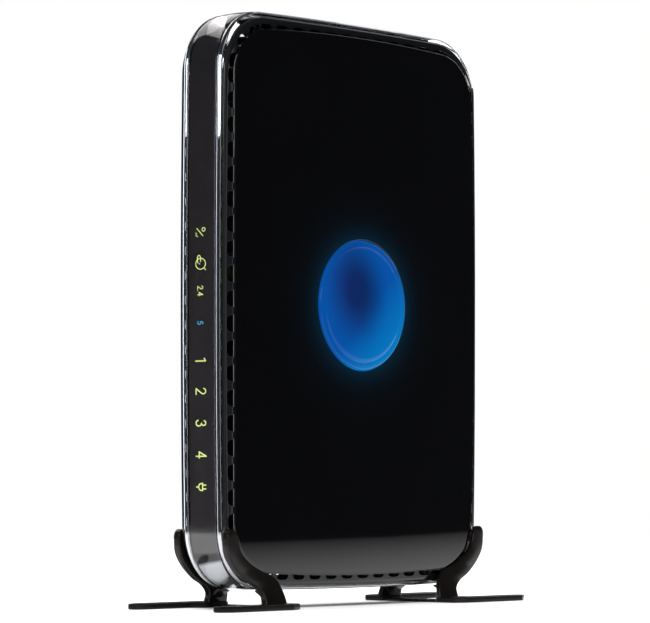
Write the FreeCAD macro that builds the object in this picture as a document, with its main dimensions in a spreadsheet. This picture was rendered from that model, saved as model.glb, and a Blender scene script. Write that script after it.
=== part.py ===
"""A dual-band wireless router that stands on edge in two clip-on feet.

Frame: +Z up, the floor at Z = 0, the thin direction of the case along X, its
narrow front edge with the lights facing -Y and its sockets facing +Y.
All sizes are millimetres.
"""
import FreeCAD
import Part
import math
import os
import re
import Sketcher

V = FreeCAD.Vector
doc = FreeCAD.newDocument("wireless_router")

# ---------------------------------------------------------------- driving sizes
SIZES = {
    # case outline, seen from the side
    "case_height": 223.0,
    "case_depth": 153.0,
    "case_corner": 23.0,
    "case_top_bow": 2500.0,
    "case_front_bow": 4500.0,
    "case_lift": 6.5,
    "case_half_width": 11.1,
    # clear band wrapped round the front, top and bottom edges
    "wrap_half_width": 9.9,
    "wrap_depth": 2.7,
    "trim_half_width": 6.8,
    "trim_depth": 1.2,
    "back_opening": 186.0,
    # side shells
    "shell_wall": 1.6,
    "flange_inset": 4.1,
    # raised gloss panels
    "panel_height": 212.2,
    "panel_depth": 142.6,
    "panel_corner": 19.5,
    "panel_top_bow": 900.0,
    "panel_crown": 15.3,
    "panel_bow_across": 1326.0,
    "panel_bow_along": 4682.0,
    "panel_edge_round": 1.1,
    # vent slots round the panels
    "vent_pitch": 9.41,
    "vent_length": 7.2,
    "vent_taper": 0.8,
    "vent_inset": 2.6,
    "vent_reach": 4.6,
    # round button in the middle of the right panel
    "dome_radius": 25.2,
    "dome_rim": 15.7,
    "dome_crown": 17.7,
    "dome_gap": 0.5,
    "dome_travel": 1.2,
    "stem_radius": 3.0,
    # circuit board, upright beside the left shell
    "board_face": -5.8,
    "board_thickness": 1.6,
    # sockets
    "port_pitch": 14.0,
    "port_width": 11.7,
    "port_opening": 7.0,
    "port_reach": 13.0,
    "jack_height": 13.4,
    "jack_depth": 18.4,
    "jack_face": 75.9,
    # sprung and latching buttons on the back
    "power_travel": 2.0,
    "reset_travel": 0.8,
    # front lights
    "light_pitch": 12.1,
    # feet
    "foot_plate": 2.6,
    "foot_blade": 2.6,
    "foot_grip": 13.3,
}

sheet = doc.addObject("Spreadsheet::Sheet", "sizes")
for row, (alias, value) in enumerate(SIZES.items(), start=1):
    sheet.set(f"A{row}", alias)
    sheet.set(f"B{row}", str(value))
    sheet.setAlias(f"B{row}", alias)
doc.recompute()

ALIAS = re.compile(r"\b(" + "|".join(SIZES) + r")\b")
NODES = []


def size(alias):
    """Reads one driving size from the sheet."""
    return float(sheet.get(alias))


CENTRE = size("case_lift") + size("case_height") / 2
CENTRE_TEXT = "case_lift + case_height / 2"


# ---------------------------------------------------------------- small helpers
def bind(item, prop, text):
    """Ties a property to a formula in which sheet aliases are plain words."""
    item.setExpression(prop, ALIAS.sub(r"sizes.\1", str(text)))


def place(item, x, y, z):
    """Ties an object's position to three formulas."""
    for axis, text in zip("xyz", (x, y, z)):
        bind(item, f".Placement.Base.{axis}", text)
    return item


def box(name, x, y, z):
    """A block given by the formulas of its low and high faces on each axis."""
    item = doc.addObject("Part::Box", name)
    for prop, (low, high) in zip(("Length", "Width", "Height"), (x, y, z)):
        bind(item, prop, f"({high}) - ({low})")
    return place(item, x[0], y[0], z[0])


def rod(name, radius, x, y, z):
    """A round bar along the one axis whose entry is a pair of formulas."""
    item = doc.addObject("Part::Cylinder", name)
    along = [isinstance(entry, tuple) for entry in (x, y, z)].index(True)
    low, high = (x, y, z)[along]
    bind(item, "Radius", radius)
    bind(item, "Height", f"({high}) - ({low})")
    turns = (FreeCAD.Rotation(V(0, 1, 0), 90), FreeCAD.Rotation(V(1, 0, 0), -90), FreeCAD.Rotation())
    item.Placement = FreeCAD.Placement(V(), turns[along])
    start = [entry[0] if isinstance(entry, tuple) else entry for entry in (x, y, z)]
    return place(item, *start)


def fuse(name, *items):
    """Joins objects into one solid."""
    item = doc.addObject("Part::MultiFuse", name)
    item.Shapes = list(items)
    item.Refine = True
    return item


def cut(name, base, *tools):
    """Takes one or more objects away from another."""
    item = doc.addObject("Part::Cut", name)
    item.Base = base
    item.Tool = tools[0] if len(tools) == 1 else group(name + "_tools", *tools)
    return item


def common(name, base, tool):
    """Keeps what two objects share."""
    item = doc.addObject("Part::Common", name)
    item.Base = base
    item.Tool = tool
    return item


def group(name, *items):
    """Holds separate solids side by side in one object."""
    item = doc.addObject("Part::Compound", name)
    item.Links = list(items)
    return item


def mirrored(name, source, normal):
    """The mirror image of an object in a plane through the origin."""
    item = doc.addObject("Part::Mirroring", name)
    item.Source = source
    item.Normal = normal
    return item


def node(item, label):
    """Marks an object as one finished piece of the assembly."""
    item.Label = label
    NODES.append(item)
    return item


# ---------------------------------------------------------------- side outlines
OUTLINES = {
    "case": ("case_height", "case_depth", "case_corner", "case_top_bow"),
    "panel": ("panel_height", "panel_depth", "panel_corner", "panel_top_bow"),
}


def add_outline(sketch, kind, inset):
    """Draws a rounded, slightly bowed rectangle of eight tangent arcs.

    The centres stay put when the outline is inset: only the radii shrink.
    """
    height, depth, corner, top_bow = OUTLINES[kind]
    tall, wide, round_, bow, side = (size(a) for a in (height, depth, corner, top_bow, "case_front_bow"))
    step = eval_inset(inset)
    top_y, side_x = tall / 2 - bow, wide / 2 - side
    x, y = wide / 2, tall / 2
    for _ in range(40):
        x = side_x + math.sqrt((side - round_) ** 2 - y * y)
        y = top_y + math.sqrt((bow - round_) ** 2 - x * x)
    top_turn, side_turn = math.atan2(y - top_y, x), math.atan2(y, x - side_x)
    arcs = []
    half = math.pi
    for cx, cy, radius, start, end in (
        (side_x, 0, side, -side_turn, side_turn),
        (x, y, round_, side_turn, top_turn),
        (0, top_y, bow, top_turn, half - top_turn),
        (-x, y, round_, half - top_turn, half - side_turn),
        (-side_x, 0, side, half - side_turn, half + side_turn),
        (-x, -y, round_, half + side_turn, half + top_turn),
        (0, -top_y, bow, half + top_turn, 2 * half - top_turn),
        (x, -y, round_, 2 * half - top_turn, 2 * half - side_turn),
    ):
        circle = Part.Circle(V(cx, cy, 0), V(0, 0, 1), radius - step)
        arcs.append(sketch.addGeometry(Part.ArcOfCircle(circle, start, end), False))
    rule = Sketcher.Constraint
    for index, arc in enumerate(arcs):
        sketch.addConstraint(rule("Tangent", arc, 2, arcs[(index + 1) % 8], 1))
    sides, tops, corners = arcs[0::4], arcs[2::4], arcs[1::2]
    for family in (sides, tops, corners):
        for other in family[1:]:
            sketch.addConstraint(rule("Equal", family[0], other))
    for arc in sides:
        sketch.addConstraint(rule("PointOnObject", arc, 3, -1))
    for arc in tops:
        sketch.addConstraint(rule("PointOnObject", arc, 3, -2))
    for arc, value, text in (
        (sides[0], side - step, f"case_front_bow - ({inset})"),
        (tops[0], bow - step, f"{top_bow} - ({inset})"),
        (corners[0], round_ - step, f"{corner} - ({inset})"),
    ):
        index = sketch.addConstraint(rule("Radius", arc, value))
        bind(sketch, f"Constraints[{index}]", text)
    for axis, first, second, value, text in (
        ("DistanceX", (sides[0], 3), (-1, 1), -side_x, f"case_front_bow - {depth} / 2"),
        ("DistanceX", (-1, 1), (sides[1], 3), -side_x, f"case_front_bow - {depth} / 2"),
        ("DistanceY", (tops[0], 3), (-1, 1), -top_y, f"{top_bow} - {height} / 2"),
        ("DistanceY", (-1, 1), (tops[1], 3), -top_y, f"{top_bow} - {height} / 2"),
    ):
        index = sketch.addConstraint(rule(axis, *first, *second, value))
        bind(sketch, f"Constraints[{index}]", text)


def eval_inset(text):
    """The number of an inset formula that is a sum of sheet aliases and numbers."""
    total = 0.0
    for term in str(text).split("+"):
        word = term.strip()
        total += size(word) if word in SIZES else float(word)
    return total


def side_body(name, steps):
    """A body built on the side plane from padded and pocketed outlines.

    Each step is (outlines, low X, high X); its outlines share one sketch, so
    a second, smaller outline makes a hole.
    """
    body = doc.addObject("PartDesign::Body", name)
    place(body, 0, 0, CENTRE_TEXT)
    plane = next(o for o in body.Origin.OriginFeatures if o.Role == "YZ_Plane")
    for number, (outlines, low, high) in enumerate(steps):
        sketch = body.newObject("Sketcher::SketchObject", f"{name}_outline_{number}")
        sketch.AttachmentSupport = (plane, [""])
        sketch.MapMode = "FlatFace"
        bind(sketch, ".AttachmentOffset.Base.z", low)
        for kind, inset in outlines:
            add_outline(sketch, kind, inset)
        pad = body.newObject("PartDesign::Pad", f"{name}_pad_{number}")
        pad.Profile = sketch
        bind(pad, "Length", f"({high}) - ({low})")
        sketch.Visibility = False
        doc.recompute()
    return body


def back_window(name, margin=0.0):
    """The block in which the edge band is open to the sockets."""
    half = f"(back_opening / 2 - {margin})"
    return box(name, ("-20", "20"), ("case_depth / 2 - 15", "case_depth / 2 + 5"),
               (f"{CENTRE_TEXT} - {half}", f"{CENTRE_TEXT} + {half}"))


# ---------------------------------------------------------------- vent slots
def vent_places():
    """Centre, inward direction and count of the slots round one panel."""
    pitch, inset = size("vent_pitch"), size("vent_inset")
    half_y, half_z = size("case_depth") / 2, size("case_height") / 2
    bow_y, bow_z = size("case_front_bow"), size("panel_top_bow")
    column = [step * pitch for step in range(-9, 10)]
    row = [(step + 0.5) * pitch for step in range(-6, 6)]
    places = []
    for sign in (-1, 1):
        for z in column:
            lean = z / bow_y
            places.append((sign * (half_y - inset - z * z / (2 * bow_y)), z, -sign, -lean))
        for y in row:
            lean = y / bow_z
            places.append((y, sign * (half_z - inset - y * y / (2 * bow_z)), -lean, -sign))
    radius = size("case_corner") - inset
    corner_y, corner_z = half_y - size("case_corner") - 0.9, half_z - size("case_corner") - 1.3
    for turn in (15.0, 43.0, 70.0):
        cos, sin = math.cos(math.radians(turn)), math.sin(math.radians(turn))
        for sign_y in (-1, 1):
            for sign_z in (-1, 1):
                places.append((sign_y * (corner_y + radius * cos), sign_z * (corner_z + radius * sin),
                               -sign_y * cos, -sign_z * sin))
    return places


def vent_cutter():
    """One solid per slot: a trapezoid, wider towards the panel."""
    half, taper, reach = size("vent_length") / 2, size("vent_taper"), size("vent_reach")
    low, high = size("case_half_width") - 3.4, size("case_half_width") + 1.0
    solids = []
    for y, z, in_y, in_z in vent_places():
        start, inward, across = V(low, y, z + CENTRE), V(0, in_y, in_z), V(0, -in_z, in_y)
        points = [start - across * (half - taper), start + across * (half - taper),
                  start + inward * reach + across * half, start + inward * reach - across * half]
        face = Part.Face(Part.makePolygon(points + points[:1]))
        solids.append(face.extrude(V(high - low, 0, 0)))
    return Part.makeCompound(solids)


vents = doc.addObject("Part::Feature", "vent_cutter")
vents.Shape = vent_cutter()

# ---------------------------------------------------------------- clear and dark edge bands
wrap_ring = side_body("wrap_ring", [((("case", "0"), ("case", "wrap_depth")),
                                     "-wrap_half_width", "wrap_half_width")])
node(cut("wrap_cut", wrap_ring, back_window("wrap_window")), "clear_wrap_band")

LIGHT_COUNT = 9
LIGHT_TOP = 143.6
LIGHTS = [f"{LIGHT_TOP} - {index} * light_pitch" for index in range(LIGHT_COUNT)]

trim_ring = side_body("trim_ring", [((("case", "wrap_depth"), ("case", "wrap_depth + trim_depth")),
                                     "-trim_half_width", "trim_half_width")])
trim_face, trim_back = "-case_depth / 2 + wrap_depth", "-case_depth / 2 + wrap_depth + trim_depth"
trim_holes = [box(f"icon_hole_{n}", ("-3.2", "3.2"), (f"{trim_face} - 1", f"{trim_back} + 1"),
                  (f"{z} - 4", f"{z} + 4")) for n, z in enumerate(LIGHTS)]
node(cut("trim_cut", trim_ring, back_window("trim_window"), *trim_holes), "dark_trim_band")

icon_windows = [box(f"icon_window_{n}", ("-3.2", "3.2"), (f"{trim_face} + 0.65", f"{trim_back} - 0.05"),
                    (f"{z} - 4", f"{z} + 4")) for n, z in enumerate(LIGHTS)]
node(group("icon_window_group", *icon_windows), "icon_windows")

light_low, light_high = f"{LIGHTS[-1]} - 5", f"{LIGHTS[0]} + 5"
# the band's inner face bows in by up to 0.7 at the lowest light, so the guide stands clear of it
guide_bar = box("guide_bar", ("-2.5", "2.5"), (f"{trim_back} + 0.7", f"{trim_back} + 2.6"),
                (light_low, light_high))
guide_arms = [box(f"guide_arm_{n}", ("board_face", "2.5"), (f"{trim_back} + 2.6", f"{trim_back} + 6.6"),
                  (f"{z} - 1.5", f"{z} + 1.5")) for n, z in enumerate(LIGHTS)]
node(fuse("guide_fuse", guide_bar, *guide_arms), "light_guide_bar")

# ---------------------------------------------------------------- side shells
BOSS_Y, BOSS_RISE = 50.0, 96.0
SHELL_BOSSES = [(y, f"{CENTRE_TEXT} + {z}") for y in (-BOSS_Y, BOSS_Y) for z in (-BOSS_RISE, BOSS_RISE)]
BOARD_HOLES = [(y, f"{CENTRE_TEXT} + {z}") for y in (-58.0, 36.0) for z in (-76.0, 76.0)]


def guide_window(name):
    """The slot in a flange that the light guide passes through."""
    return box(name, ("board_face - 0.8", "3.3"), ("-case_depth / 2", "-case_depth / 2 + 8"),
               (f"{light_low} - 0.8", f"{light_high} + 0.8"))


def shell_blank(name, low, high, inner_low, inner_high):
    """A flat side wall with a flange that runs round inside the edge bands."""
    wall = side_body(f"{name}_wall", [((("case", "0"),), low, high)])
    flange = side_body(f"{name}_flange", [((("case", "flange_inset"), ("case", "flange_inset + shell_wall")),
                                           inner_low, inner_high)])
    open_flange = cut(f"{name}_flange_open", flange, back_window(f"{name}_window"),
                      guide_window(f"{name}_slot"))
    return wall, open_flange


right_wall, right_flange = shell_blank("right", "wrap_half_width", "case_half_width",
                                       "0.1", "wrap_half_width")
right_bosses = [rod(f"right_boss_{n}", "3.2", ("0.1", "wrap_half_width"), y, z)
                for n, (y, z) in enumerate(SHELL_BOSSES)]
right_pilots = [rod(f"right_pilot_{n}", "1.3", ("0", "8.2"), y, z) for n, (y, z) in enumerate(SHELL_BOSSES)]
right_solid = fuse("right_solid", right_wall, right_flange, *right_bosses)
dome_hole = rod("dome_hole", "dome_radius + 3.3", ("5", "20"), "0", CENTRE_TEXT)
node(cut("right_shell_cut", right_solid, vents, dome_hole, *right_pilots), "right_side_shell")

left_wall, left_flange = shell_blank("left", "-case_half_width", "-wrap_half_width",
                                     "-wrap_half_width", "-0.1")
left_bosses = [rod(f"left_boss_{n}", "3.2", ("-wrap_half_width", "-0.1"), y, z)
               for n, (y, z) in enumerate(SHELL_BOSSES)]
left_posts = [rod(f"left_post_{n}", "3", ("-wrap_half_width", "board_face - board_thickness"), y, z)
              for n, (y, z) in enumerate(BOARD_HOLES)]
left_solid = fuse("left_solid", left_wall, left_flange, *left_bosses, *left_posts)
left_bores = [rod(f"left_bore_{n}", "1.7", ("-20", "1"), y, z) for n, (y, z) in enumerate(SHELL_BOSSES)]
left_sinks = [rod(f"left_sink_{n}", "3", ("-20", "-8.6"), y, z) for n, (y, z) in enumerate(SHELL_BOSSES)]
post_pilots = [rod(f"post_pilot_{n}", "0.9", ("-9.7", "0"), y, z) for n, (y, z) in enumerate(BOARD_HOLES)]
left_vents = mirrored("left_vents", vents, V(1, 0, 0))
# the four screw sinks are counterbores, so the boss is filled round each of them
left_collars = [rod(f"left_collar_{n}", "4.2", ("-wrap_half_width", "-6.6"), y, z)
                for n, (y, z) in enumerate(SHELL_BOSSES)]
left_full = fuse("left_full", left_solid, *left_collars)
node(cut("left_shell_cut", left_full, left_vents, *left_bores, *left_sinks, *post_pilots), "left_side_shell")

# ---------------------------------------------------------------- raised gloss panels
PANEL_WALL = 1.7


def crown(name, lift):
    """A huge torus whose outer equator gives the panel its slight pillow shape."""
    item = doc.addObject("Part::Torus", name)
    bind(item, "Radius1", "panel_bow_along - panel_bow_across")
    bind(item, "Radius2", f"panel_bow_across - {lift}")
    # the second turn moves the torus's seam to the side away from the panel
    turn = FreeCAD.Rotation(V(1, 0, 0), 90) * FreeCAD.Rotation(V(0, 0, 1), 180)
    item.Placement = FreeCAD.Placement(V(), turn)
    return place(item, "panel_crown - panel_bow_along", "0", CENTRE_TEXT)


panel_block = side_body("panel_block", [((("panel", "0"),), "case_half_width", "panel_crown + 1")])
panel_outer = common("panel_outer", panel_block, crown("panel_crown_outer", 0))
panel_round = doc.addObject("Part::Fillet", "panel_round")
panel_round.Base = panel_outer
doc.recompute()


def rim_edges(shape):
    """Numbers of the edges between the crown and the side walls."""
    low = size("case_half_width") + 0.5
    return [n for n, edge in enumerate(shape.Edges, start=1)
            if min(p.x for p in edge.discretize(5)) > low and edge.Length > 8
            and abs(edge.valueAt(edge.FirstParameter).x - edge.valueAt(edge.LastParameter).x) < 1.2]


edge_round = size("panel_edge_round")
panel_round.Edges = [(n, edge_round, edge_round) for n in rim_edges(panel_outer.Shape)]
panel_core = side_body("panel_core", [((("panel", str(PANEL_WALL)),), "0", "panel_crown + 1")])
panel_inner = common("panel_inner", panel_core, crown("panel_crown_inner", PANEL_WALL))
panel_shell = cut("panel_shell", panel_round, panel_inner, vents)
panel_hole = rod("panel_hole", "dome_radius + dome_gap", ("5", "30"), "0", CENTRE_TEXT)
node(cut("right_panel_cut", panel_shell, panel_hole), "right_gloss_panel")
node(mirrored("left_panel_mirror", panel_shell, V(1, 0, 0)), "left_gloss_panel")

# ---------------------------------------------------------------- round button and its parts
DOME_SKIN = 2.2


def cap_ball(name, radius, rim, top):
    """The ball whose cap rises from one level to another across a radius."""
    ball = doc.addObject("Part::Sphere", name)
    text = f"(({radius})^2 + ({top} - {rim})^2) / (2 * ({top} - {rim}))"
    bind(ball, "Radius", text)
    return place(ball, f"{top} - {text}", "0", CENTRE_TEXT)


dome_disc = rod("dome_disc", "dome_radius", ("11.4", "dome_crown + 1"), "0", CENTRE_TEXT)
dome_cap = common("dome_cap", dome_disc, cap_ball("dome_ball", "dome_radius", "dome_rim", "dome_crown"))
# the flange rests under the panel and clears the light ring by 0.3 when pressed
dome_flange = rod("dome_flange", "dome_radius + 1.7",
                  ("wrap_half_width + dome_travel + 0.3", "wrap_half_width + dome_travel + 1.7"),
                  "0", CENTRE_TEXT)
dome_hollow = rod("dome_hollow", "dome_radius - 2.2", ("10", f"dome_rim - {DOME_SKIN}"), "0", CENTRE_TEXT)
dome_groove = doc.addObject("Part::Torus", "dome_groove")
bind(dome_groove, "Radius1", "dome_radius - 2.6")
dome_groove.Radius2 = 0.7
dome_groove.Placement = FreeCAD.Placement(V(), FreeCAD.Rotation(V(0, 1, 0), 90))
place(dome_groove, "dome_rim + 0.9", "0", CENTRE_TEXT)
dome_stem = rod("dome_stem", "stem_radius", ("-0.2", f"dome_rim - {DOME_SKIN}"), "0", CENTRE_TEXT)
GUIDE_CIRCLE, GUIDE_PIN = 17.0, 1.5
GUIDES = [(f"{GUIDE_CIRCLE * math.cos(turn):.4f}", f"{CENTRE_TEXT} + {GUIDE_CIRCLE * math.sin(turn):.4f}")
          for turn in (math.pi / 2, math.pi * 7 / 6, math.pi * 11 / 6)]
dome_pins = [rod(f"dome_pin_{n}", GUIDE_PIN, ("2.5", f"dome_rim - {DOME_SKIN}"), y, z)
             for n, (y, z) in enumerate(GUIDES)]
dome_shell = cut("dome_shell", fuse("dome_top", dome_cap, dome_flange), dome_hollow, dome_groove)
node(fuse("dome_fuse", dome_shell, dome_stem, *dome_pins), "dome_button")

CARRIER_FLOOR, CARRIER_TOP = 4.0, 5.4
carrier_cup = rod("carrier_cup", "dome_radius + 4.6", (CARRIER_FLOOR, "wrap_half_width"), "0", CENTRE_TEXT)
carrier_space = rod("carrier_space", "dome_radius + 3.3", (CARRIER_TOP, "20"), "0", CENTRE_TEXT)
carrier_holes = [rod(f"carrier_hole_{n}", GUIDE_PIN + 0.35, ("0", "20"), y, z)
                 for n, (y, z) in enumerate(GUIDES)]
stem_hole = rod("stem_hole", "stem_radius + 0.35", ("0", "20"), "0", CENTRE_TEXT)
node(cut("carrier_cut", carrier_cup, carrier_space, stem_hole, *carrier_holes), "dome_carrier")

lamp_ring = rod("lamp_ring", "dome_radius - 0.4", (CARRIER_TOP, CARRIER_TOP + 1.2), "0", CENTRE_TEXT)
lamp_ring_hole = rod("lamp_ring_hole", "20", ("0", "20"), "0", CENTRE_TEXT)
node(cut("lamp_board_cut", lamp_ring, lamp_ring_hole), "dome_lamp_board")
LAMP_CIRCLE = 22.4
lamps = []
for index in range(8):
    turn = math.radians(45 * index)
    y, z = LAMP_CIRCLE * math.cos(turn), LAMP_CIRCLE * math.sin(turn)
    lamps.append(rod(f"lamp_{index}", "1.4", (CARRIER_TOP + 1.2, CARRIER_TOP + 2.1),
                     f"{y:.4f}", f"{CENTRE_TEXT} + {z:.4f}"))
node(group("lamp_group", *lamps), "dome_lamps")
diffuser = rod("diffuser", "dome_radius + 3.3", ("8.9", "9.9"), "0", CENTRE_TEXT)
diffuser_hole = rod("diffuser_hole", "19.2", ("0", "20"), "0", CENTRE_TEXT)
node(cut("diffuser_cut", diffuser, diffuser_hole), "dome_light_ring")


def spoke(name, x, reach, half_width, turn):
    """A flat arm that points outwards from the button's axis."""
    item = doc.addObject("Part::Box", name)
    item.Length, item.Width, item.Height = x[1] - x[0], reach[1] - reach[0], 2 * half_width
    rotation = FreeCAD.Rotation(V(1, 0, 0), turn)
    corner = rotation.multVec(V(0, reach[0], -half_width))
    item.Placement = FreeCAD.Placement(V(), rotation)
    return place(item, x[0], f"{corner.y:.4f}", f"{CENTRE_TEXT} + {corner.z:.4f}")


SPRING = (CARRIER_TOP, CARRIER_TOP + 0.3)
spring_plate = rod("spring_plate", "8", SPRING, "0", CENTRE_TEXT)
spring_arms = [spoke(f"spring_arm_{turn}", SPRING, (6.0, 18.0), 1.6, turn) for turn in (0, 120, 240)]
spring_eye = rod("spring_eye", "stem_radius + 0.35", ("0", "20"), "0", CENTRE_TEXT)
node(cut("spring_cut", fuse("spring_star", spring_plate, *spring_arms), spring_eye), "dome_return_spring")

SWITCH_TOP = -3.2
switch_body = box("dome_switch_body", ("board_face", SWITCH_TOP), (-3, 3),
                  (f"{CENTRE_TEXT} - 3", f"{CENTRE_TEXT} + 3"))
switch_pip = rod("dome_switch_pip", 1.7, (SWITCH_TOP, SWITCH_TOP + 1.0), "0", CENTRE_TEXT)
node(fuse("dome_switch_fuse", switch_body, switch_pip), "dome_switch")

# ---------------------------------------------------------------- circuit board
BOARD_Y, BOARD_RISE = (-66.0, 58.0), 84.0
board_low = "board_face - board_thickness"
board = box("board_blank", (board_low, "board_face"), BOARD_Y,
            (f"{CENTRE_TEXT} - {BOARD_RISE}", f"{CENTRE_TEXT} + {BOARD_RISE}"))
board_bores = [rod(f"board_bore_{n}", 1.5, (-20, 0), y, z) for n, (y, z) in enumerate(BOARD_HOLES)]
node(cut("board_cut", board, *board_bores), "main_circuit_board")


def chip(name, height, y, z, width, tall):
    """A block that stands on the board, given by its centre and its two widths."""
    return box(name, ("board_face", f"board_face + {height}"), (y - width / 2, y + width / 2),
               (f"{z - tall / 2}", f"{z + tall / 2}"))


def chips(label, height, width, tall, *spots):
    """One node of like blocks on the board."""
    blocks = [chip(f"{label}_{n}", height, y, z, width, tall) for n, (y, z) in enumerate(spots)]
    return node(blocks[0] if len(blocks) == 1 else group(f"{label}_group", *blocks), label)


SINK_SPOT = (-30.0, 178.0)
chips("processor_chip", 2.2, 27, 27, SINK_SPOT)
chips("memory_chips", 1.2, 11, 18, (2, 186), (16, 186))
chips("flash_chip", 1.2, 14, 10, (9, 166))
chips("ethernet_switch_chip", 1.6, 20, 20, (32, 100))
chips("lan_transformers", 5.6, 10, 12.4, *[(50, 96 + 14 * n) for n in range(4)], (50, 78))
chips("inductors", 4.6, 9, 9, (18, 44), (18, 56))
chips("crystals", 3.4, 11, 4.6, (-8, 156), (24, 76))

SINK_FINS = 9
sink_base = ("board_face + 2.2", "board_face + 4")
sink_plate = box("sink_plate", sink_base, (SINK_SPOT[0] - 15, SINK_SPOT[0] + 15),
                 (SINK_SPOT[1] - 15, SINK_SPOT[1] + 15))
sink_fins = [box(f"sink_fin_{n}", ("board_face + 3.8", "board_face + 11"),
                 (SINK_SPOT[0] - 15, SINK_SPOT[0] + 15),
                 (SINK_SPOT[1] - 15 + 3.6 * n, SINK_SPOT[1] - 13.8 + 3.6 * n)) for n in range(SINK_FINS)]
node(fuse("sink_fuse", sink_plate, *sink_fins), "processor_heat_sink")


def shield(label, y, z, width, tall):
    """A thin metal can over one radio, open towards the board."""
    outside = chip(f"{label}_outside", 3.2, y, z, width, tall)
    inside = chip(f"{label}_inside", 2.8, y, z, width - 0.8, tall - 0.8)
    node(cut(f"{label}_cut", outside, inside), label)
    chips(label.replace("shield", "chip"), 1.4, 9, 9, (y, z))


shield("radio_shield_low_band", -44, 96, 34, 30)
shield("radio_shield_high_band", -44, 62, 34, 30)

capacitors = [rod(f"capacitor_{n}", 3.4, ("board_face", "board_face + 11"), y, z)
              for n, (y, z) in enumerate(((4, 44), (4, 54), (30, 60), (40, 68)))]
node(group("capacitor_group", *capacitors), "capacitors")

ANTENNAS = (("antenna_low_1", -56, 132), ("antenna_low_2", -20, 44), ("antenna_high_1", -57, 166),
            ("antenna_high_2", 30, 196))
for label, y, z in ANTENNAS:
    stem = box(f"{label}_stem", ("board_face", "4"), (y - 0.3, y + 0.3), (z - 5, z + 5))
    arm = box(f"{label}_arm", ("3.5", "4"), (y - 0.3, y + 7), (z - 5, z + 5))
    slot = box(f"{label}_slot", ("-3", "2.2"), (y - 1, y + 1), (z - 2, z + 2))
    node(cut(f"{label}_cut", fuse(f"{label}_fuse", stem, arm), slot), label)

lights = [box(f"light_{n}", ("board_face", "board_face + 1.4"), (BOARD_Y[0], BOARD_Y[0] + 2.4),
              (f"{z} - 1.3", f"{z} + 1.3")) for n, z in enumerate(LIGHTS)]
node(group("light_group", *lights), "indicator_lights")

# ---------------------------------------------------------------- sockets on the back
LAN_TEXT = [f"138 - {n} * port_pitch" for n in range(4)]
WAN_TEXT, USB_Z, POWER_Z, DC_Z, RESET_Z = "78", 168.0, 56.0, 39.0, 192.0
port_low = "board_face + 2.2"
latch_high = "board_face + 2.2 + port_opening + 2.4"
jack_top = "board_face + jack_height"


def port_cavity(name, z):
    """The plug-shaped hollow of one network port with its latch slot."""
    main = box(f"{name}_main", (port_low, "board_face + 2.2 + port_opening"),
               ("jack_face - port_reach", "jack_face + 5"),
               (f"{z} - port_width / 2", f"{z} + port_width / 2"))
    latch = box(f"{name}_latch", (port_low, latch_high), ("jack_face - port_reach", "jack_face + 5"),
                (f"{z} - 3.1", f"{z} + 3.1"))
    return fuse(f"{name}_cavity", main, latch)


def port_contacts(label, centres):
    """Eight thin spring wires in each port."""
    wires = []
    for port, z in enumerate(centres):
        for wire in range(8):
            offset = (wire - 3.5) * 1.02
            wires.append(box(f"{label}_{port}_{wire}", (port_low, f"{port_low} + 0.9"),
                             ("jack_face - port_reach", "jack_face - 4"),
                             (f"{z} + {offset - 0.22:.2f}", f"{z} + {offset + 0.22:.2f}")))
    return node(group(f"{label}_group", *wires), label)


def jack_block(label, centres, low, high):
    """A moulded housing with one cavity for each port."""
    block = box(f"{label}_block", ("board_face", jack_top),
                ("jack_face - jack_depth", "jack_face"), (low, high))
    cavities = [port_cavity(f"{label}_{n}", z) for n, z in enumerate(centres)]
    return node(cut(f"{label}_cut", block, *cavities), label)


lan_ends = (f"{LAN_TEXT[-1]} - port_pitch / 2 - 0.6", f"{LAN_TEXT[0]} + port_pitch / 2 + 0.6")
wan_ends = (f"{WAN_TEXT} - port_pitch / 2 - 0.6", f"{WAN_TEXT} + port_pitch / 2 + 0.6")
jack_block("lan_jack_block", LAN_TEXT, *lan_ends)
port_contacts("lan_contacts", LAN_TEXT)
jack_block("wan_jack", [WAN_TEXT], *wan_ends)
port_contacts("wan_contacts", [WAN_TEXT])

usb_outer = box("usb_outer", ("board_face", "board_face + 5.9"), ("62", "jack_face + 0.4"),
                (USB_Z - 6.6, USB_Z + 6.6))
usb_inner = box("usb_inner", ("board_face + 0.35", "board_face + 5.55"), ("62.4", "90"),
                (USB_Z - 6.25, USB_Z + 6.25))
node(cut("usb_cut", usb_outer, usb_inner), "usb_socket_shell")
node(box("usb_tongue_block", ("board_face + 0.9", "board_face + 2.8"), ("62.4", "jack_face - 0.8"),
         (USB_Z - 5.5, USB_Z + 5.5)), "usb_socket_tongue")

dc_x = "board_face + 5.5"
dc_body = box("dc_body", ("board_face", "board_face + 11"), ("62", "jack_face"), (DC_Z - 4.6, DC_Z + 4.6))
dc_bore = rod("dc_bore", 3.15, dc_x, ("65", "90"), DC_Z)
node(cut("dc_cut", dc_body, dc_bore), "power_inlet")
node(rod("dc_pin", 1.0, dc_x, ("65", "jack_face - 1.2"), DC_Z), "power_inlet_pin")

BUTTON_X = "board_face + 5.5"
power_cap = box("power_cap", ("board_face + 1.6", "board_face + 9.4"), ("70.6", "case_depth / 2 + 2.3"),
                (POWER_Z - 3.9, POWER_Z + 3.9))
power_lip = box("power_lip", ("board_face + 0.6", "board_face + 10.4"), ("69.2", "70.8"),
                (POWER_Z - 4.9, POWER_Z + 4.9))
node(fuse("power_fuse", power_cap, power_lip), "power_button")
power_plunger = rod("power_plunger", 1.5, BUTTON_X, ("62", "68.6 - power_travel"), POWER_Z)
power_case = box("power_case", ("board_face", "board_face + 9"), ("50", "62"), (POWER_Z - 4.2, POWER_Z + 4.2))
node(fuse("power_switch_fuse", power_case, power_plunger), "power_switch")

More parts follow.
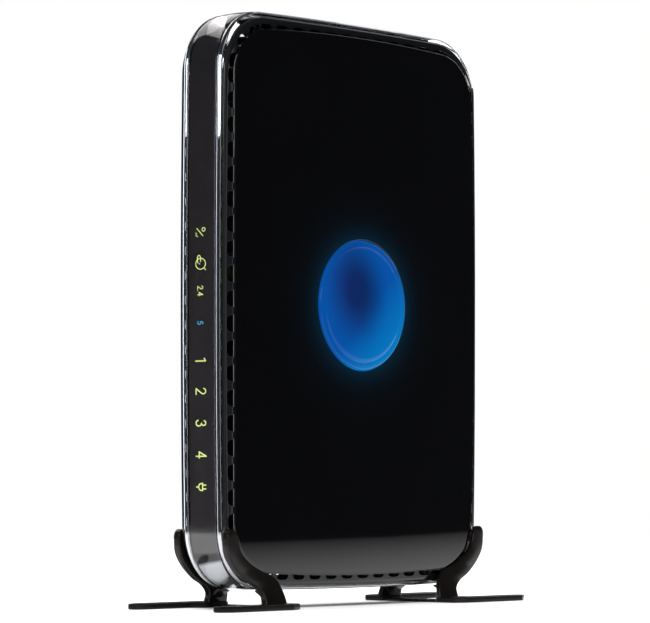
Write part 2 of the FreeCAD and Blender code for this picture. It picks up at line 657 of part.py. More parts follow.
reset_pin = rod("reset_pin", 1.4, BUTTON_X, ("70", "case_depth / 2 - 1.2"), RESET_Z)
reset_flange = rod("reset_flange", 2.6, BUTTON_X, ("70", "71.2"), RESET_Z)
node(fuse("reset_fuse", reset_pin, reset_flange), "reset_button")
reset_case = box("reset_case", ("board_face", "board_face + 8"), ("60", "67"), (RESET_Z - 3, RESET_Z + 3))
reset_tip = rod("reset_tip", 1.0, BUTTON_X, ("67", "69.4 - reset_travel"), RESET_Z)
node(fuse("reset_switch_fuse", reset_case, reset_tip), "reset_switch")

back_ring = side_body("back_ring", [((("case", "0"), ("case", "wrap_depth")),
                                     "-wrap_half_width + 0.1", "wrap_half_width - 0.1")])
back_plate = common("back_plate", back_ring, back_window("back_plate_window", 0.3))


def panel_opening(name, x, z):
    """A rectangular hole through the back panel."""
    return box(name, x, ("60", "90"), z)


CLEAR = 0.25
panel_openings = [
    panel_opening("lan_opening", ("board_face", f"{jack_top} + {CLEAR}"),
                  (f"{lan_ends[0]} - {CLEAR}", f"{lan_ends[1]} + {CLEAR}")),
    panel_opening("wan_opening", ("board_face", f"{jack_top} + {CLEAR}"),
                  (f"{wan_ends[0]} - {CLEAR}", f"{wan_ends[1]} + {CLEAR}")),
    panel_opening("usb_opening", (f"board_face - {CLEAR}", f"board_face + 5.9 + {CLEAR}"),
                  (USB_Z - 6.6 - CLEAR, USB_Z + 6.6 + CLEAR)),
    panel_opening("dc_opening", ("board_face", f"board_face + 11 + {CLEAR}"),
                  (DC_Z - 4.6 - CLEAR, DC_Z + 4.6 + CLEAR)),
    panel_opening("power_opening", ("board_face + 1.25", "board_face + 9.75"),
                  (POWER_Z - 4.25, POWER_Z + 4.25)),
    rod("reset_opening", 1.75, BUTTON_X, ("60", "90"), RESET_Z),
]
node(cut("back_panel_cut", back_plate, *panel_openings), "rear_connector_panel")

# ---------------------------------------------------------------- fasteners
def screw(name, head_radius, shank_radius, head, shank, y, z):
    """A screw along X: a round head, then a thinner shank."""
    cap = rod(f"{name}_head", head_radius, head, y, z)
    return fuse(name, cap, rod(f"{name}_shank", shank_radius, shank, y, z))


node(group("shell_screw_group", *[screw(f"shell_screw_{n}", 2.7, 1.2, (-10.6, -8.6), (-9, 6.5), y, z)
                                  for n, (y, z) in enumerate(SHELL_BOSSES)]), "shell_screws")
node(group("board_screw_group", *[screw(f"board_screw_{n}", 2.6, 0.85, ("board_face", "board_face + 1.6"),
                                        (-9.5, "board_face + 0.2"), y, z)
                                  for n, (y, z) in enumerate(BOARD_HOLES)]), "board_screws")

# ---------------------------------------------------------------- feet
FOOT_OUTER = ((74.6, 27.6), (74.2, 22.0), (70.4, 16.2), (64.6, 11.6), (58.6, 8.4), (56.4, 5.6), (57.0, 2.4))
FOOT_INNER = ((69.2, 28.4), (67.0, 22.0), (62.2, 17.2), (56.4, 14.4), (50.0, 12.0), (46.6, 9.0), (45.4, 5.4),
              (45.8, 2.4))
FOOT_TIP = (72.4, 30.6)
FOOT_PAD = ((14.0, 45.4), (23.6, 45.4), (26.4, 52.0), (27.0, 86.0), (24.0, 91.0), (20.8, 91.0), (19.4, 86.0),
            (18.6, 62.0), (14.0, 57.6))


def s_blade():
    """The side view of one S-shaped arm, thick enough in X to be trimmed later."""
    flip = [V(0, -y, z) for y, z in FOOT_INNER]
    outer = [V(0, -y, z) for y, z in FOOT_OUTER]
    inside, outside = Part.BSplineCurve(), Part.BSplineCurve()
    inside.interpolate(flip)
    outside.interpolate(outer)
    top = Part.Arc(flip[0], V(0, -FOOT_TIP[0], FOOT_TIP[1]), outer[0])
    base = Part.LineSegment(outer[-1], flip[-1])
    wire = Part.Wire(Part.__sortEdges__([c.toShape() for c in (inside, top, outside, base)]))
    solid = Part.Face(wire).extrude(V(14, 0, 0))
    solid.translate(V(10, 0, 0))
    return solid


def splay_slab():
    """An upright wall that bends outwards near the floor."""
    grip, blade = size("foot_grip"), size("foot_blade")
    inner = [(grip, 32), (grip, 14), (grip + 1.0, 8), (grip + 3.2, 0)]
    points = [V(x, -40, z) for x, z in inner] + [V(x + blade, -40, z) for x, z in reversed(inner)]
    return Part.Face(Part.makePolygon(points + points[:1])).extrude(V(0, -40, 0))


def foot_pad():
    """One flat toe, rounded at its corners."""
    points = [V(x, -y, 0) for x, y in FOOT_PAD]
    plate = Part.Face(Part.makePolygon(points + points[:1])).extrude(V(0, 0, size("foot_plate")))
    upright = [e for e in plate.Edges if abs(e.Vertexes[0].Point.z - e.Vertexes[1].Point.z) > 1]
    return plate.makeFillet(1.4, upright)


blade_source = doc.addObject("Part::Feature", "foot_blade_side")
blade_source.Shape = s_blade()
slab_source = doc.addObject("Part::Feature", "foot_splay")
slab_source.Shape = splay_slab()
pad_source = doc.addObject("Part::Feature", "foot_toe")
pad_source.Shape = foot_pad()
foot_blade = common("foot_blade_solid", blade_source, slab_source)
# a ledge carries the case: its top is cut to the curve of the case's bottom edge and side
foot_ledge = box("foot_ledge", ("9.2", "foot_grip + 3"), (-56, -50), (5.0, 9.4))
case_block = side_body("case_block", [((("case", "0"),), "-case_half_width", "case_half_width")])
foot_side = cut("foot_side", fuse("foot_side_solid", foot_blade, pad_source, foot_ledge), case_block)
foot_bridge = box("foot_bridge", (-15, 15), (-56, -46.6), ("0", "foot_plate - 0.8"))
foot_far_side = mirrored("foot_far_side", foot_side, V(1, 0, 0))
front_foot = node(fuse("front_foot_fuse", foot_side, foot_far_side, foot_bridge), "front_foot")
node(mirrored("rear_foot_mirror", front_foot, V(0, 1, 0)), "rear_foot")

# ---------------------------------------------------------------- checks and files
doc.recompute()
for item in doc.Objects:
    if {"Invalid", "Error"} & set(item.State):
        raise SystemExit(f"{item.Name} failed: {item.State}")
os.makedirs("parts", exist_ok=True)
for item in NODES:
    shape = item.Shape
    if shape.isNull() or not shape.isValid() or not shape.Solids:
        raise SystemExit(f"{item.Label} has no valid solid")
for item in NODES:
    shape = item.Shape
    shape.exportStep(f"parts/{item.Label}.step")
    room = shape.optimalBoundingBox(False)
    print(f"{item.Label:24s} solids {len(shape.Solids):3d} volume {shape.Volume:10.1f}  "
          f"x {room.XMin:6.1f} {room.XMax:6.1f}  y {room.YMin:6.1f} {room.YMax:6.1f}  "
          f"z {room.ZMin:6.1f} {room.ZMax:6.1f}")
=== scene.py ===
"""Looks of an upright wireless router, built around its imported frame.

Every shape is worked out in millimetres, in the frame's own axes: +Z up from
the floor, the lit front edge towards -Y, the round button towards +X.
"""
import logging
import math
from dataclasses import dataclass, field
from enum import Enum
from typing import Any, Optional, Sequence, Union

import bmesh
import bpy
import numpy as np
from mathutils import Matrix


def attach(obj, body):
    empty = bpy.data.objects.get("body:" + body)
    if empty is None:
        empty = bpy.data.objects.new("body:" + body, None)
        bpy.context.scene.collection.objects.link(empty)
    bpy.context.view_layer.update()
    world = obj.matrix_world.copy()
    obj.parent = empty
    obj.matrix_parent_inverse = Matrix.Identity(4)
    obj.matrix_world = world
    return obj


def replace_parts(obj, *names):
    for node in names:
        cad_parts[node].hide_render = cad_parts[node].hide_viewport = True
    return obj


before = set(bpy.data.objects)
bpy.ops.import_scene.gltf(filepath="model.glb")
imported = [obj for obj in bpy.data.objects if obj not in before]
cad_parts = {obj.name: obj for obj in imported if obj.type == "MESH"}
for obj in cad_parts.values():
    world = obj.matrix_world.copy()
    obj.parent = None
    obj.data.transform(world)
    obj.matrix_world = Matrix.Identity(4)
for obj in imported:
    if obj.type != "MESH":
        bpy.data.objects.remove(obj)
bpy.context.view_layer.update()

log = logging.getLogger("router")
MM = 0.001
Colour = tuple[float, float, float]


class Body(str, Enum):
    """The parts that move as one."""

    CASE = "case"
    DOME = "dome"
    POWER = "power_key"
    RESET = "reset_key"


class Side(Enum):
    """Which side of the case a piece belongs to."""

    RIGHT = 1
    LEFT = -1


# ---------------------------------------------------------------- shader maths
# The colour Mix node's sockets by number: its two colours and its result.
MIX_FIRST, MIX_SECOND, MIX_RESULT = 6, 7, 2


class Sock:
    """One output of a node, usable in ordinary arithmetic."""

    def __init__(self, tree: "Tree", socket: bpy.types.NodeSocket) -> None:
        """Keeps the tree that new nodes are added to."""
        self.tree = tree
        self.socket = socket

    def math(self, operation: str, *others: Any) -> "Sock":
        """One Math node with this socket as its first value."""
        return self.tree.math(operation, self, *others)

    def __add__(self, other: Any) -> "Sock":
        """Sum."""
        return self.math("ADD", other)

    def __radd__(self, other: Any) -> "Sock":
        """Sum, with this socket second."""
        return self.tree.math("ADD", other, self)

    def __sub__(self, other: Any) -> "Sock":
        """Difference."""
        return self.math("SUBTRACT", other)

    def __rsub__(self, other: Any) -> "Sock":
        """Difference, with this socket second."""
        return self.tree.math("SUBTRACT", other, self)

    def __mul__(self, other: Any) -> "Sock":
        """Product."""
        return self.math("MULTIPLY", other)

    def __rmul__(self, other: Any) -> "Sock":
        """Product, with this socket second."""
        return self.tree.math("MULTIPLY", other, self)

    def __truediv__(self, other: Any) -> "Sock":
        """Quotient."""
        return self.math("DIVIDE", other)

    def __rtruediv__(self, other: Any) -> "Sock":
        """Quotient, with this socket second."""
        return self.tree.math("DIVIDE", other, self)

    def __pow__(self, other: Any) -> "Sock":
        """Power."""
        return self.math("POWER", other)

    def clamped(self, low: float = 0.0, high: float = 1.0) -> "Sock":
        """The value held between two limits."""
        return self.math("MAXIMUM", low).math("MINIMUM", high)


class Tree:
    """Adds nodes to one material's tree."""

    def __init__(self, material: bpy.types.Material) -> None:
        """Empties the tree of a material and keeps it."""
        material.use_nodes = True
        self.links = material.node_tree.links
        self.nodes = material.node_tree.nodes
        self.nodes.clear()

    def node(self, kind: str, settings: Optional[dict[str, Any]] = None,
             inputs: Optional[dict[Union[int, str], Any]] = None,
             output: Union[int, str] = 0) -> Sock:
        """Adds any node.

        Args:
            kind: the node's type, such as ShaderNodeMath.
            settings: its properties, set first.
            inputs: a value or a Sock for each input, by name or number.
            output: which output to hand back.

        Returns:
            The chosen output.
        """
        made = self.nodes.new(kind)
        for name, value in (settings or {}).items():
            setattr(made, name, value)
        for key, value in (inputs or {}).items():
            if isinstance(value, Sock):
                self.links.new(value.socket, made.inputs[key])
            else:
                made.inputs[key].default_value = value
        return Sock(self, made.outputs[output]) if made.outputs else Sock(self, made.inputs[0])

    def math(self, operation: str, *values: Any) -> Sock:
        """One Math node."""
        return self.node("ShaderNodeMath", {"operation": operation}, dict(enumerate(values)))

    def vector(self, operation: str, *values: Any) -> Sock:
        """One Vector Math node."""
        return self.node("ShaderNodeVectorMath", {"operation": operation}, dict(enumerate(values)))

    def place(self) -> Sock:
        """The point on the surface in object coordinates, in millimetres."""
        metres = self.node("ShaderNodeTexCoord", output="Object")
        return self.node("ShaderNodeVectorMath", {"operation": "SCALE"},
                         {0: metres, "Scale": 1.0 / MM})

    def axes(self, vector: Sock) -> tuple[Sock, Sock, Sock]:
        """The three parts of a vector."""
        made = self.node("ShaderNodeSeparateXYZ", None, {0: vector})
        outputs = made.socket.node.outputs
        return tuple(Sock(self, outputs[index]) for index in range(3))

    def noise(self, vector: Sock, scale: float, detail: float = 2.0, rough: float = 0.5) -> Sock:
        """A noise value from 0 to 1; scale is in repeats per millimetre."""
        return self.node("ShaderNodeTexNoise", None,
                         {"Vector": vector, "Scale": scale, "Detail": detail, "Roughness": rough})

    def mix(self, factor: Any, first: Any, second: Any) -> Sock:
        """A colour between two colours."""
        pair = [value if isinstance(value, Sock) else (*value, 1.0) for value in (first, second)]
        return self.node("ShaderNodeMix", {"data_type": "RGBA"},
                         {0: factor, MIX_FIRST: pair[0], MIX_SECOND: pair[1]}, MIX_RESULT)

    def bump(self, height: Sock, distance_mm: float, strength: float = 1.0) -> Sock:
        """A normal bent by a height from 0 to 1 that stands for a real distance."""
        return self.node("ShaderNodeBump", None,
                         {"Height": height, "Distance": distance_mm * MM, "Strength": strength})

    def surface(self, inputs: dict[str, Any]) -> None:
        """Ends the tree in one Principled shader with these values."""
        shader = self.node("ShaderNodeBsdfPrincipled", None, inputs)
        self.node("ShaderNodeOutputMaterial", None, {"Surface": shader})


# ---------------------------------------------------------------- finishes
@dataclass(frozen=True)
class Finish:
    """A finish with one colour; each kind below adds its own surface."""

    name: str
    colour: Colour
    roughness: float
    record_slot: str = ""

    @property
    def slot(self) -> str:
        """The record's material slot that the finish belongs to."""
        return self.record_slot or self.name

    def build(self) -> bpy.types.Material:
        """Makes the material once and hands it back after that."""
        title = f"{self.name}_finish"
        found = bpy.data.materials.get(title)
        if found is not None:
            return found
        material = bpy.data.materials.new(title)
        material.diffuse_color = (*self.colour, 1.0)
        self.paint(Tree(material))
        return material

    def paint(self, tree: Tree) -> None:
        """Fills the node tree."""
        raise NotImplementedError


@dataclass(frozen=True)
class MouldedPlastic(Finish):
    """Moulded plastic: fine spark-eroded grain, faint mottling of colour and gloss."""

    grain: float = 9.0
    grain_depth: float = 0.01
    mottle: float = 0.12
    coat: float = 0.0
    specular: float = 0.5

    def paint(self, tree: Tree) -> None:
        """Grain from fine noise, mottling from broad noise."""
        place = tree.place()
        fine = tree.noise(place, self.grain, 3.0, 0.6)
        broad = tree.noise(place, 0.09, 2.0)
        shade = (broad - 0.5) * (2.0 * self.mottle) + (fine - 0.5) * self.mottle
        tree.surface({
            "Base Color": self.tone(tree, place, (shade + 0.5).clamped()),
            "Roughness": (self.roughness + (fine - 0.5) * 0.10
                          + (broad - 0.5) * 0.06).clamped(0.02, 1.0),
            "Normal": tree.bump(fine, self.grain_depth),
            "Coat Weight": self.coat,
            "Coat Roughness": 0.08,
            "Specular IOR Level": self.specular,
        })

    def tone(self, tree: Tree, place: Sock, shade: Sock) -> Sock:
        """The colour at a shade from 0 to 1, from a little darker to a little lighter."""
        light = tuple(min(1.0, c * (1.0 + 2.0 * self.mottle) + 0.004) for c in self.colour)
        dark = tuple(c * (1.0 - 2.0 * self.mottle) for c in self.colour)
        return tree.mix(shade, dark, light)


@dataclass(frozen=True)
class StripWithPaintedLight(MouldedPlastic):
    """The strip behind the clear band, with painted light: a pale painted highlight under a
    slanting line on its bottom corner.
    """

    # The colour of the painted highlight on the bottom corner.
    pale: Colour = (0.93, 0.93, 0.93)
    line: float = 19.0
    slant: float = 0.14
    fade: float = 1.1

    def tone(self, tree: Tree, place: Sock, shade: Sock) -> Sock:
        """Paints a pale highlight where the height falls under the line, which rises with x."""
        x, y, z = tree.axes(place)
        # Painted highlight: the share of pale grows under the slanting line, on the front only.
        under = ((x * self.slant + self.line) - z) * (1.0 / self.fade)
        front = y.math("LESS_THAN", 0.0)
        return tree.mix(under.clamped() * front, super().tone(tree, place, shade), self.pale)


@dataclass(frozen=True)
class PianoGloss(Finish):
    """Deep gloss black with a soft light that leaks out round the lit button."""

    halo: Colour = (0.0, 0.0, 0.0)
    halo_start: float = 25.2
    halo_fall: float = 4.2
    centre: tuple[float, float] = (0.0, 118.0)

    def paint(self, tree: Tree) -> None:
        """Faint waviness of gloss; the leak fades with the distance from the button's edge."""
        place = tree.place()
        wave = tree.noise(place, 0.035, 1.0)
        haze = tree.noise(place, 1.7, 4.0, 0.65)
        _, y, z = tree.axes(place)
        away = ((y - self.centre[0]) ** 2.0 + (z - self.centre[1]) ** 2.0) ** 0.5
        past = (away - self.halo_start).math("MAXIMUM", 0.0)
        fade = tree.math("EXPONENT", past * (-1.0 / self.halo_fall))
        lighter = tuple(c * 1.6 + 0.0004 for c in self.colour)
        tree.surface({
            "Base Color": tree.mix(wave, self.colour, lighter),
            "Roughness": (self.roughness + (haze - 0.5) * 0.02).clamped(0.005, 1.0),
            "Normal": tree.bump(wave, 0.012),
            "Emission Color": tree.mix(fade, (0.0, 0.0, 0.0), self.halo),
            "Emission Strength": 1.0,
        })


@dataclass(frozen=True)
class ClearAcrylic(Finish):
    """Thick polished acrylic with a faint polish haze, and silvered beads along its edges."""

    index: float = 1.49
    silver: float = 0.0
    bead: tuple[float, float] = (7.66, 9.80)

    def paint(self, tree: Tree) -> None:
        """Transmission is constant; the haze of the polish varies, and the beads' silvering."""
        place = tree.place()
        haze = tree.noise(place, 0.6, 3.0)
        away = tree.axes(place)[0].math("ABSOLUTE")
        bead = away.math("GREATER_THAN", self.bead[0]) * away.math("LESS_THAN", self.bead[1])
        lighter = tuple(min(1.0, c * 1.02) for c in self.colour)
        tree.surface({
            "Metallic": bead * self.silver,
            "Base Color": tree.mix(haze, self.colour, lighter),
            "Roughness": (self.roughness + (haze - 0.5) * 0.012).clamped(0.0, 1.0),
            "IOR": self.index,
            "Transmission Weight": 1.0,
        })


@dataclass(frozen=True)
class Metal(Finish):
    """Sheet or plated metal, brushed along one axis."""

    brush: tuple[float, float, float] = (0.6, 0.6, 14.0)
    tarnish: float = 0.25

    def paint(self, tree: Tree) -> None:
        """Streaks from stretched noise, tarnish from broad noise."""
        place = tree.place()
        stretched = tree.vector("MULTIPLY", place, self.brush)
        streak = tree.noise(stretched, 1.0, 3.0, 0.6)
        stain = tree.noise(place, 0.25, 4.0, 0.6)
        dull = tuple(c * (1.0 - self.tarnish) for c in self.colour)
        tree.surface({
            "Base Color": tree.mix((stain * 0.7 + streak * 0.3).clamped(), dull, self.colour),
            "Metallic": 1.0,
            "Roughness": (self.roughness + (streak - 0.5) * 0.18).clamped(0.05, 1.0),
            "Normal": tree.bump(streak, 0.006),
        })


@dataclass(frozen=True)
class SolderMask(Finish):
    """Solder mask over copper: tracks show as slightly raised, lighter lines."""

    track_pitch: float = 1.9
    copper: Colour = (0.055, 0.26, 0.11)

    def paint(self, tree: Tree) -> None:
        """Tracks are the thin cell borders of a blocky pattern, vias are its dots."""
        place = tree.place()
        _, y, z = tree.axes(place)
        flat = tree.node("ShaderNodeCombineXYZ", None, {"Y": y, "Z": z})
        blocky = {"distance": "CHEBYCHEV", "feature": "F1"}
        broad = tree.node("ShaderNodeTexVoronoi", blocky,
                          {"Vector": flat, "Scale": 0.16, "Randomness": 0.9})
        bars = (broad * (9.0 / self.track_pitch)).math("FRACT")
        track = bars.math("GREATER_THAN", 0.62)
        dots = tree.node("ShaderNodeTexVoronoi", {"feature": "F1"}, {"Vector": flat, "Scale": 0.30})
        via = dots.math("LESS_THAN", 0.14)
        mask = tree.mix(track, self.colour, self.copper)
        tree.surface({
            "Base Color": tree.mix(via, mask, (0.62, 0.60, 0.50)),
            "Roughness": (self.roughness + track * 0.08).clamped(),
            "Normal": tree.bump(track, 0.03),
            "Coat Weight": 0.3,
        })


@dataclass(frozen=True)
class Glow(Finish):
    """Lit translucent plastic of one hue, a little uneven."""

    strength: float = 1.0

    def paint(self, tree: Tree) -> None:
        """The light varies by a tenth over the surface."""
        place = tree.place()
        uneven = tree.noise(place, 0.8, 2.0)
        dim = tuple(c * 0.86 for c in self.colour)
        lit = tree.mix(uneven, dim, self.colour)
        tree.surface({
            "Base Color": lit,
            "Roughness": (self.roughness + (uneven - 0.5) * 0.05).clamped(),
            "Emission Color": lit,
            "Emission Strength": self.strength,
        })


@dataclass(frozen=True)
class LitCap(Finish):
    """Translucent blue cap lit from its rim: bright edge, dark middle, cyan low down."""

    centre: tuple[float, float] = (0.0, 118.0)
    shade_centre: tuple[float, float] = (-5.8, 123.5)
    radius: float = 25.2
    rim: Colour = (0.001, 0.078, 0.350)
    middle: Colour = (0.001, 0.017, 0.078)
    plum: Colour = (0.006, 0.014, 0.100)
    cyan: Colour = (0.0, 0.200, 0.520)
    stretch: tuple[float, float] = (1.18, 0.92)
    unevenness: float = 0.16
    dark_part: float = 0.14
    reach_gain: float = 1.25
    plum_shift: float = 0.35
    cyan_way: tuple[float, float] = (0.70, 0.75)
    cyan_from: float = 0.10

    def paint(self, tree: Tree) -> None:
        """Colour runs out from a shade centre to the rim, and to cyan on the lower far side."""
        place = tree.place()
        _, y, z = tree.axes(place)
        flow = tree.noise(place, 0.05, 2.0)
        shade_y, shade_z = y - self.shade_centre[0], z - self.shade_centre[1]
        wide, tall = self.stretch
        out = ((shade_y * wide) ** 2.0 + (shade_z * tall) ** 2.0) ** 0.5
        uneven = (flow - 0.5) * self.unevenness
        reach = ((out / self.radius + uneven - self.dark_part) * self.reach_gain).clamped()
        smooth = reach * reach * (3.0 - 2.0 * reach)
        across, up = y - self.centre[0], z - self.centre[1]
        left = (across * (-1.0 / self.radius) + self.plum_shift).clamped()
        core = tree.mix(left, self.middle, self.plum)
        slope = across * self.cyan_way[0] - up * self.cyan_way[1]
        low = (slope * (1.0 / self.radius) - self.cyan_from).clamped()
        edge = tree.mix(low, self.rim, self.cyan)
        lit = tree.mix(smooth, core, edge)
        tree.surface({
            "Base Color": (*self.colour, 1.0),
            "Roughness": (self.roughness + (flow - 0.5) * 0.03).clamped(),
            "Emission Color": lit,
            "Emission Strength": 1.0,
            "Specular IOR Level": 0.15,
        })


BLACK_SHELL = MouldedPlastic("black_shell", (0.0062, 0.0070, 0.0085), 0.14,
                             grain=6.0, grain_depth=0.003)
# The strip's own dark colour, with a pale painted highlight on its bottom corner.
DARK_TRIM = StripWithPaintedLight("dark_trim", (0.0410, 0.0330, 0.0340), 0.60,
                         grain=3.2, grain_depth=0.02, mottle=0.22, specular=0.2)
BLACK_GLOSS = PianoGloss("black_gloss", (0.0008, 0.0008, 0.0011), 0.03, halo=(0.0, 0.017, 0.036))
# A pale bead painted along the notches as a highlight, standing for the glint on their edges.
SLOT_GLINT_PAINT = MouldedPlastic("painted_slot_glint", (0.20, 0.175, 0.18), 0.35, "black_gloss", mottle=0.05)
BACK_GLOSS = PianoGloss("black_gloss_plain", (0.0008, 0.0008, 0.0011), 0.03, "black_gloss")
CLEAR = ClearAcrylic("clear_plastic", (0.93, 0.95, 0.98), 0.02, silver=0.55)
GUIDE = ClearAcrylic("light_guide", (0.90, 0.93, 0.93), 0.08)
WHITE_PLASTIC = MouldedPlastic("white_plastic", (0.78, 0.78, 0.76), 0.45, mottle=0.03)
DIFFUSER = MouldedPlastic("diffuser", (0.74, 0.80, 0.88), 0.60, mottle=0.03)
BOARD_GREEN = SolderMask("board_green", (0.020, 0.130, 0.052), 0.32)
COMPONENT = MouldedPlastic("component_black", (0.024, 0.024, 0.025), 0.52,
                           grain=5.0, grain_depth=0.012)
FERRITE = MouldedPlastic("ferrite", (0.085, 0.080, 0.076), 0.62,
                         grain=4.0, grain_depth=0.03, mottle=0.2)
CAN_METAL = Metal("can_metal", (0.66, 0.65, 0.62), 0.30)
SINK_METAL = Metal("sink_metal", (0.045, 0.045, 0.050), 0.42, brush=(0.5, 9.0, 0.5))
SPRING_STEEL = Metal("spring_steel", (0.60, 0.59, 0.57), 0.24)
GOLD = Metal("gold_contact", (0.83, 0.60, 0.22), 0.24, tarnish=0.15)
SCREW_STEEL = Metal("screw_steel", (0.52, 0.52, 0.51), 0.30)
JACK_BLACK = MouldedPlastic("jack_black", (0.022, 0.022, 0.024), 0.42)
JACK_YELLOW = MouldedPlastic("jack_yellow", (0.60, 0.40, 0.035), 0.42, mottle=0.06)
BUTTON_GREY = MouldedPlastic("button_grey", (0.075, 0.075, 0.080), 0.36)
BUTTON_RED = MouldedPlastic("button_red", (0.38, 0.022, 0.020), 0.38, mottle=0.06)
FOOT_BLACK = MouldedPlastic("foot_black", (0.0040, 0.0026, 0.0018), 0.24,
                            grain=4.0, grain_depth=0.004, mottle=0.06, specular=0.3)
BLUE_CAP = LitCap("blue_dome", (0.001, 0.006, 0.030), 0.10)
BLUE_LAMP = Glow("lamp", (0.03, 0.22, 0.85), 0.20, strength=1.5)
INDICATOR = Glow("indicator_lamp", (0.42, 0.62, 0.12), 0.25, strength=0.8)
LIME_PRINT = Glow("icon_window", (0.74, 0.84, 0.27), 0.40, strength=0.9)
SKY_PRINT = Glow("icon_window_blue", (0.08, 0.42, 0.72), 0.40, "icon_window", strength=0.9)


# ---------------------------------------------------------------- outlines
@dataclass(frozen=True)
class Outline:
    """A rounded, slightly bowed rectangle of eight tangent arcs, seen from the side.

    The arc centres stay put when the outline is inset: only the radii shrink.
    The drop is how far its middle lies under the case's middle.
    Places along it are given by u, the length measured on the outline itself
    from the middle of the back edge, up and over the top.
    """

    height: float
    depth: float
    corner: float
    top_bow: float
    front_bow: float
    drop: float = 0.0

    def corner_centre(self) -> tuple[float, float]:
        """Where the corner arcs are centred, found by alternating the two tangency rules."""
        top_z, side_y = self.height / 2 - self.top_bow, self.depth / 2 - self.front_bow
        y, z = self.depth / 2, self.height / 2
        for _ in range(40):
            y = side_y + math.sqrt((self.front_bow - self.corner) ** 2 - z * z)
            z = top_z + math.sqrt((self.top_bow - self.corner) ** 2 - y * y)
        return y, z

    def arcs(self) -> np.ndarray:
        """Rows of centre y, centre z, radius, start angle and end angle, from the back edge up."""
        y, z = self.corner_centre()
        top_z, side_y = self.height / 2 - self.top_bow, self.depth / 2 - self.front_bow
        side, top, half = math.atan2(z, y - side_y), math.atan2(z - top_z, y), math.pi
        return np.array([
            (side_y, 0.0, self.front_bow, 0.0, side),
            (y, z, self.corner, side, top),
            (0.0, top_z, self.top_bow, top, half - top),
            (-y, z, self.corner, half - top, half - side),
            (-side_y, 0.0, self.front_bow, half - side, half + side),
            (-y, -z, self.corner, half + side, half + top),
            (0.0, -top_z, self.top_bow, half + top, 2 * half - top),
            (y, -z, self.corner, 2 * half - top, 2 * half - side),
            (side_y, 0.0, self.front_bow, 2 * half - side, 2 * half),
        ])

    def starts(self) -> np.ndarray:
        """The length u at which each arc starts, and the whole length last."""
        arcs = self.arcs()
        return np.concatenate([[0.0], np.cumsum(arcs[:, 2] * (arcs[:, 4] - arcs[:, 3]))])

    def at(self, u: np.ndarray, inset: Any) -> tuple[np.ndarray, np.ndarray]:
        """Points of the inset outline.

        A point is its arc's centre plus the shrunken radius times the unit
        vector at the angle that u reaches on the arc.

        Args:
            u: places along the outline, any array.
            inset: how far in each point lies, a number or an array like u.

        Returns:
            The y and z of the points, each shaped like u.
        """
        starts, arcs = self.starts(), self.arcs()
        u = np.mod(np.asarray(u, float), starts[-1])
        which = np.clip(np.searchsorted(starts, u, side="right") - 1, 0, len(arcs) - 1)
        centre_y, centre_z, radius, start = (arcs[which, column] for column in range(4))
        turn = start + (u - starts[which]) / radius
        reach = radius - inset
        return centre_y + reach * np.cos(turn), centre_z + reach * np.sin(turn) - self.drop

    def open_places(self, insets: np.ndarray, rise: float, step: float,
                    corner_step: float) -> np.ndarray:
        """Places for a band that is open on the back edge, with level ends.

        The first corner's places are squeezed to begin where the inset corner
        arc reaches the rise; the last corner mirrors the first.

        Args:
            insets: the insets of the band's rows.
            rise: how far above the middle the band ends.
            step: the spacing on the long sides.
            corner_step: the spacing round the corners.

        Returns:
            An array of insets by places.
        """
        starts, arcs = self.starts(), self.arcs()
        whole = self.stations(step, corner_step)
        whole = whole[(whole >= starts[1] - 1e-9) & (whole < starts[8] - 1e-9)]
        whole = np.append(whole, starts[8])
        _, z = self.corner_centre()
        turn = np.arcsin((rise - z) / (self.corner - insets)) - arcs[1, 3]
        cut = starts[1] + turn * self.corner
        share = ((starts[2] - cut) / (starts[2] - starts[1]))[:, None]
        first = np.where(whole < starts[2], cut[:, None] + (whole - starts[1]) * share, whole)
        back = starts[-1] - whole
        last = starts[-1] - (cut[:, None] + (back - starts[1]) * share)
        return np.where(whole > starts[7], last, first)

    def stations(self, step: float, corner_step: float) -> np.ndarray:
        """Places along the outline, closer together round the corners."""
        starts = self.starts()
        rows = []
        for index, (low, high) in enumerate(zip(starts[:-1], starts[1:])):
            wanted = corner_step if index % 2 else step
            count = max(2, int(math.ceil((high - low) / wanted)))
            rows.append(np.linspace(low, high, count, endpoint=False))
        return np.concatenate(rows)


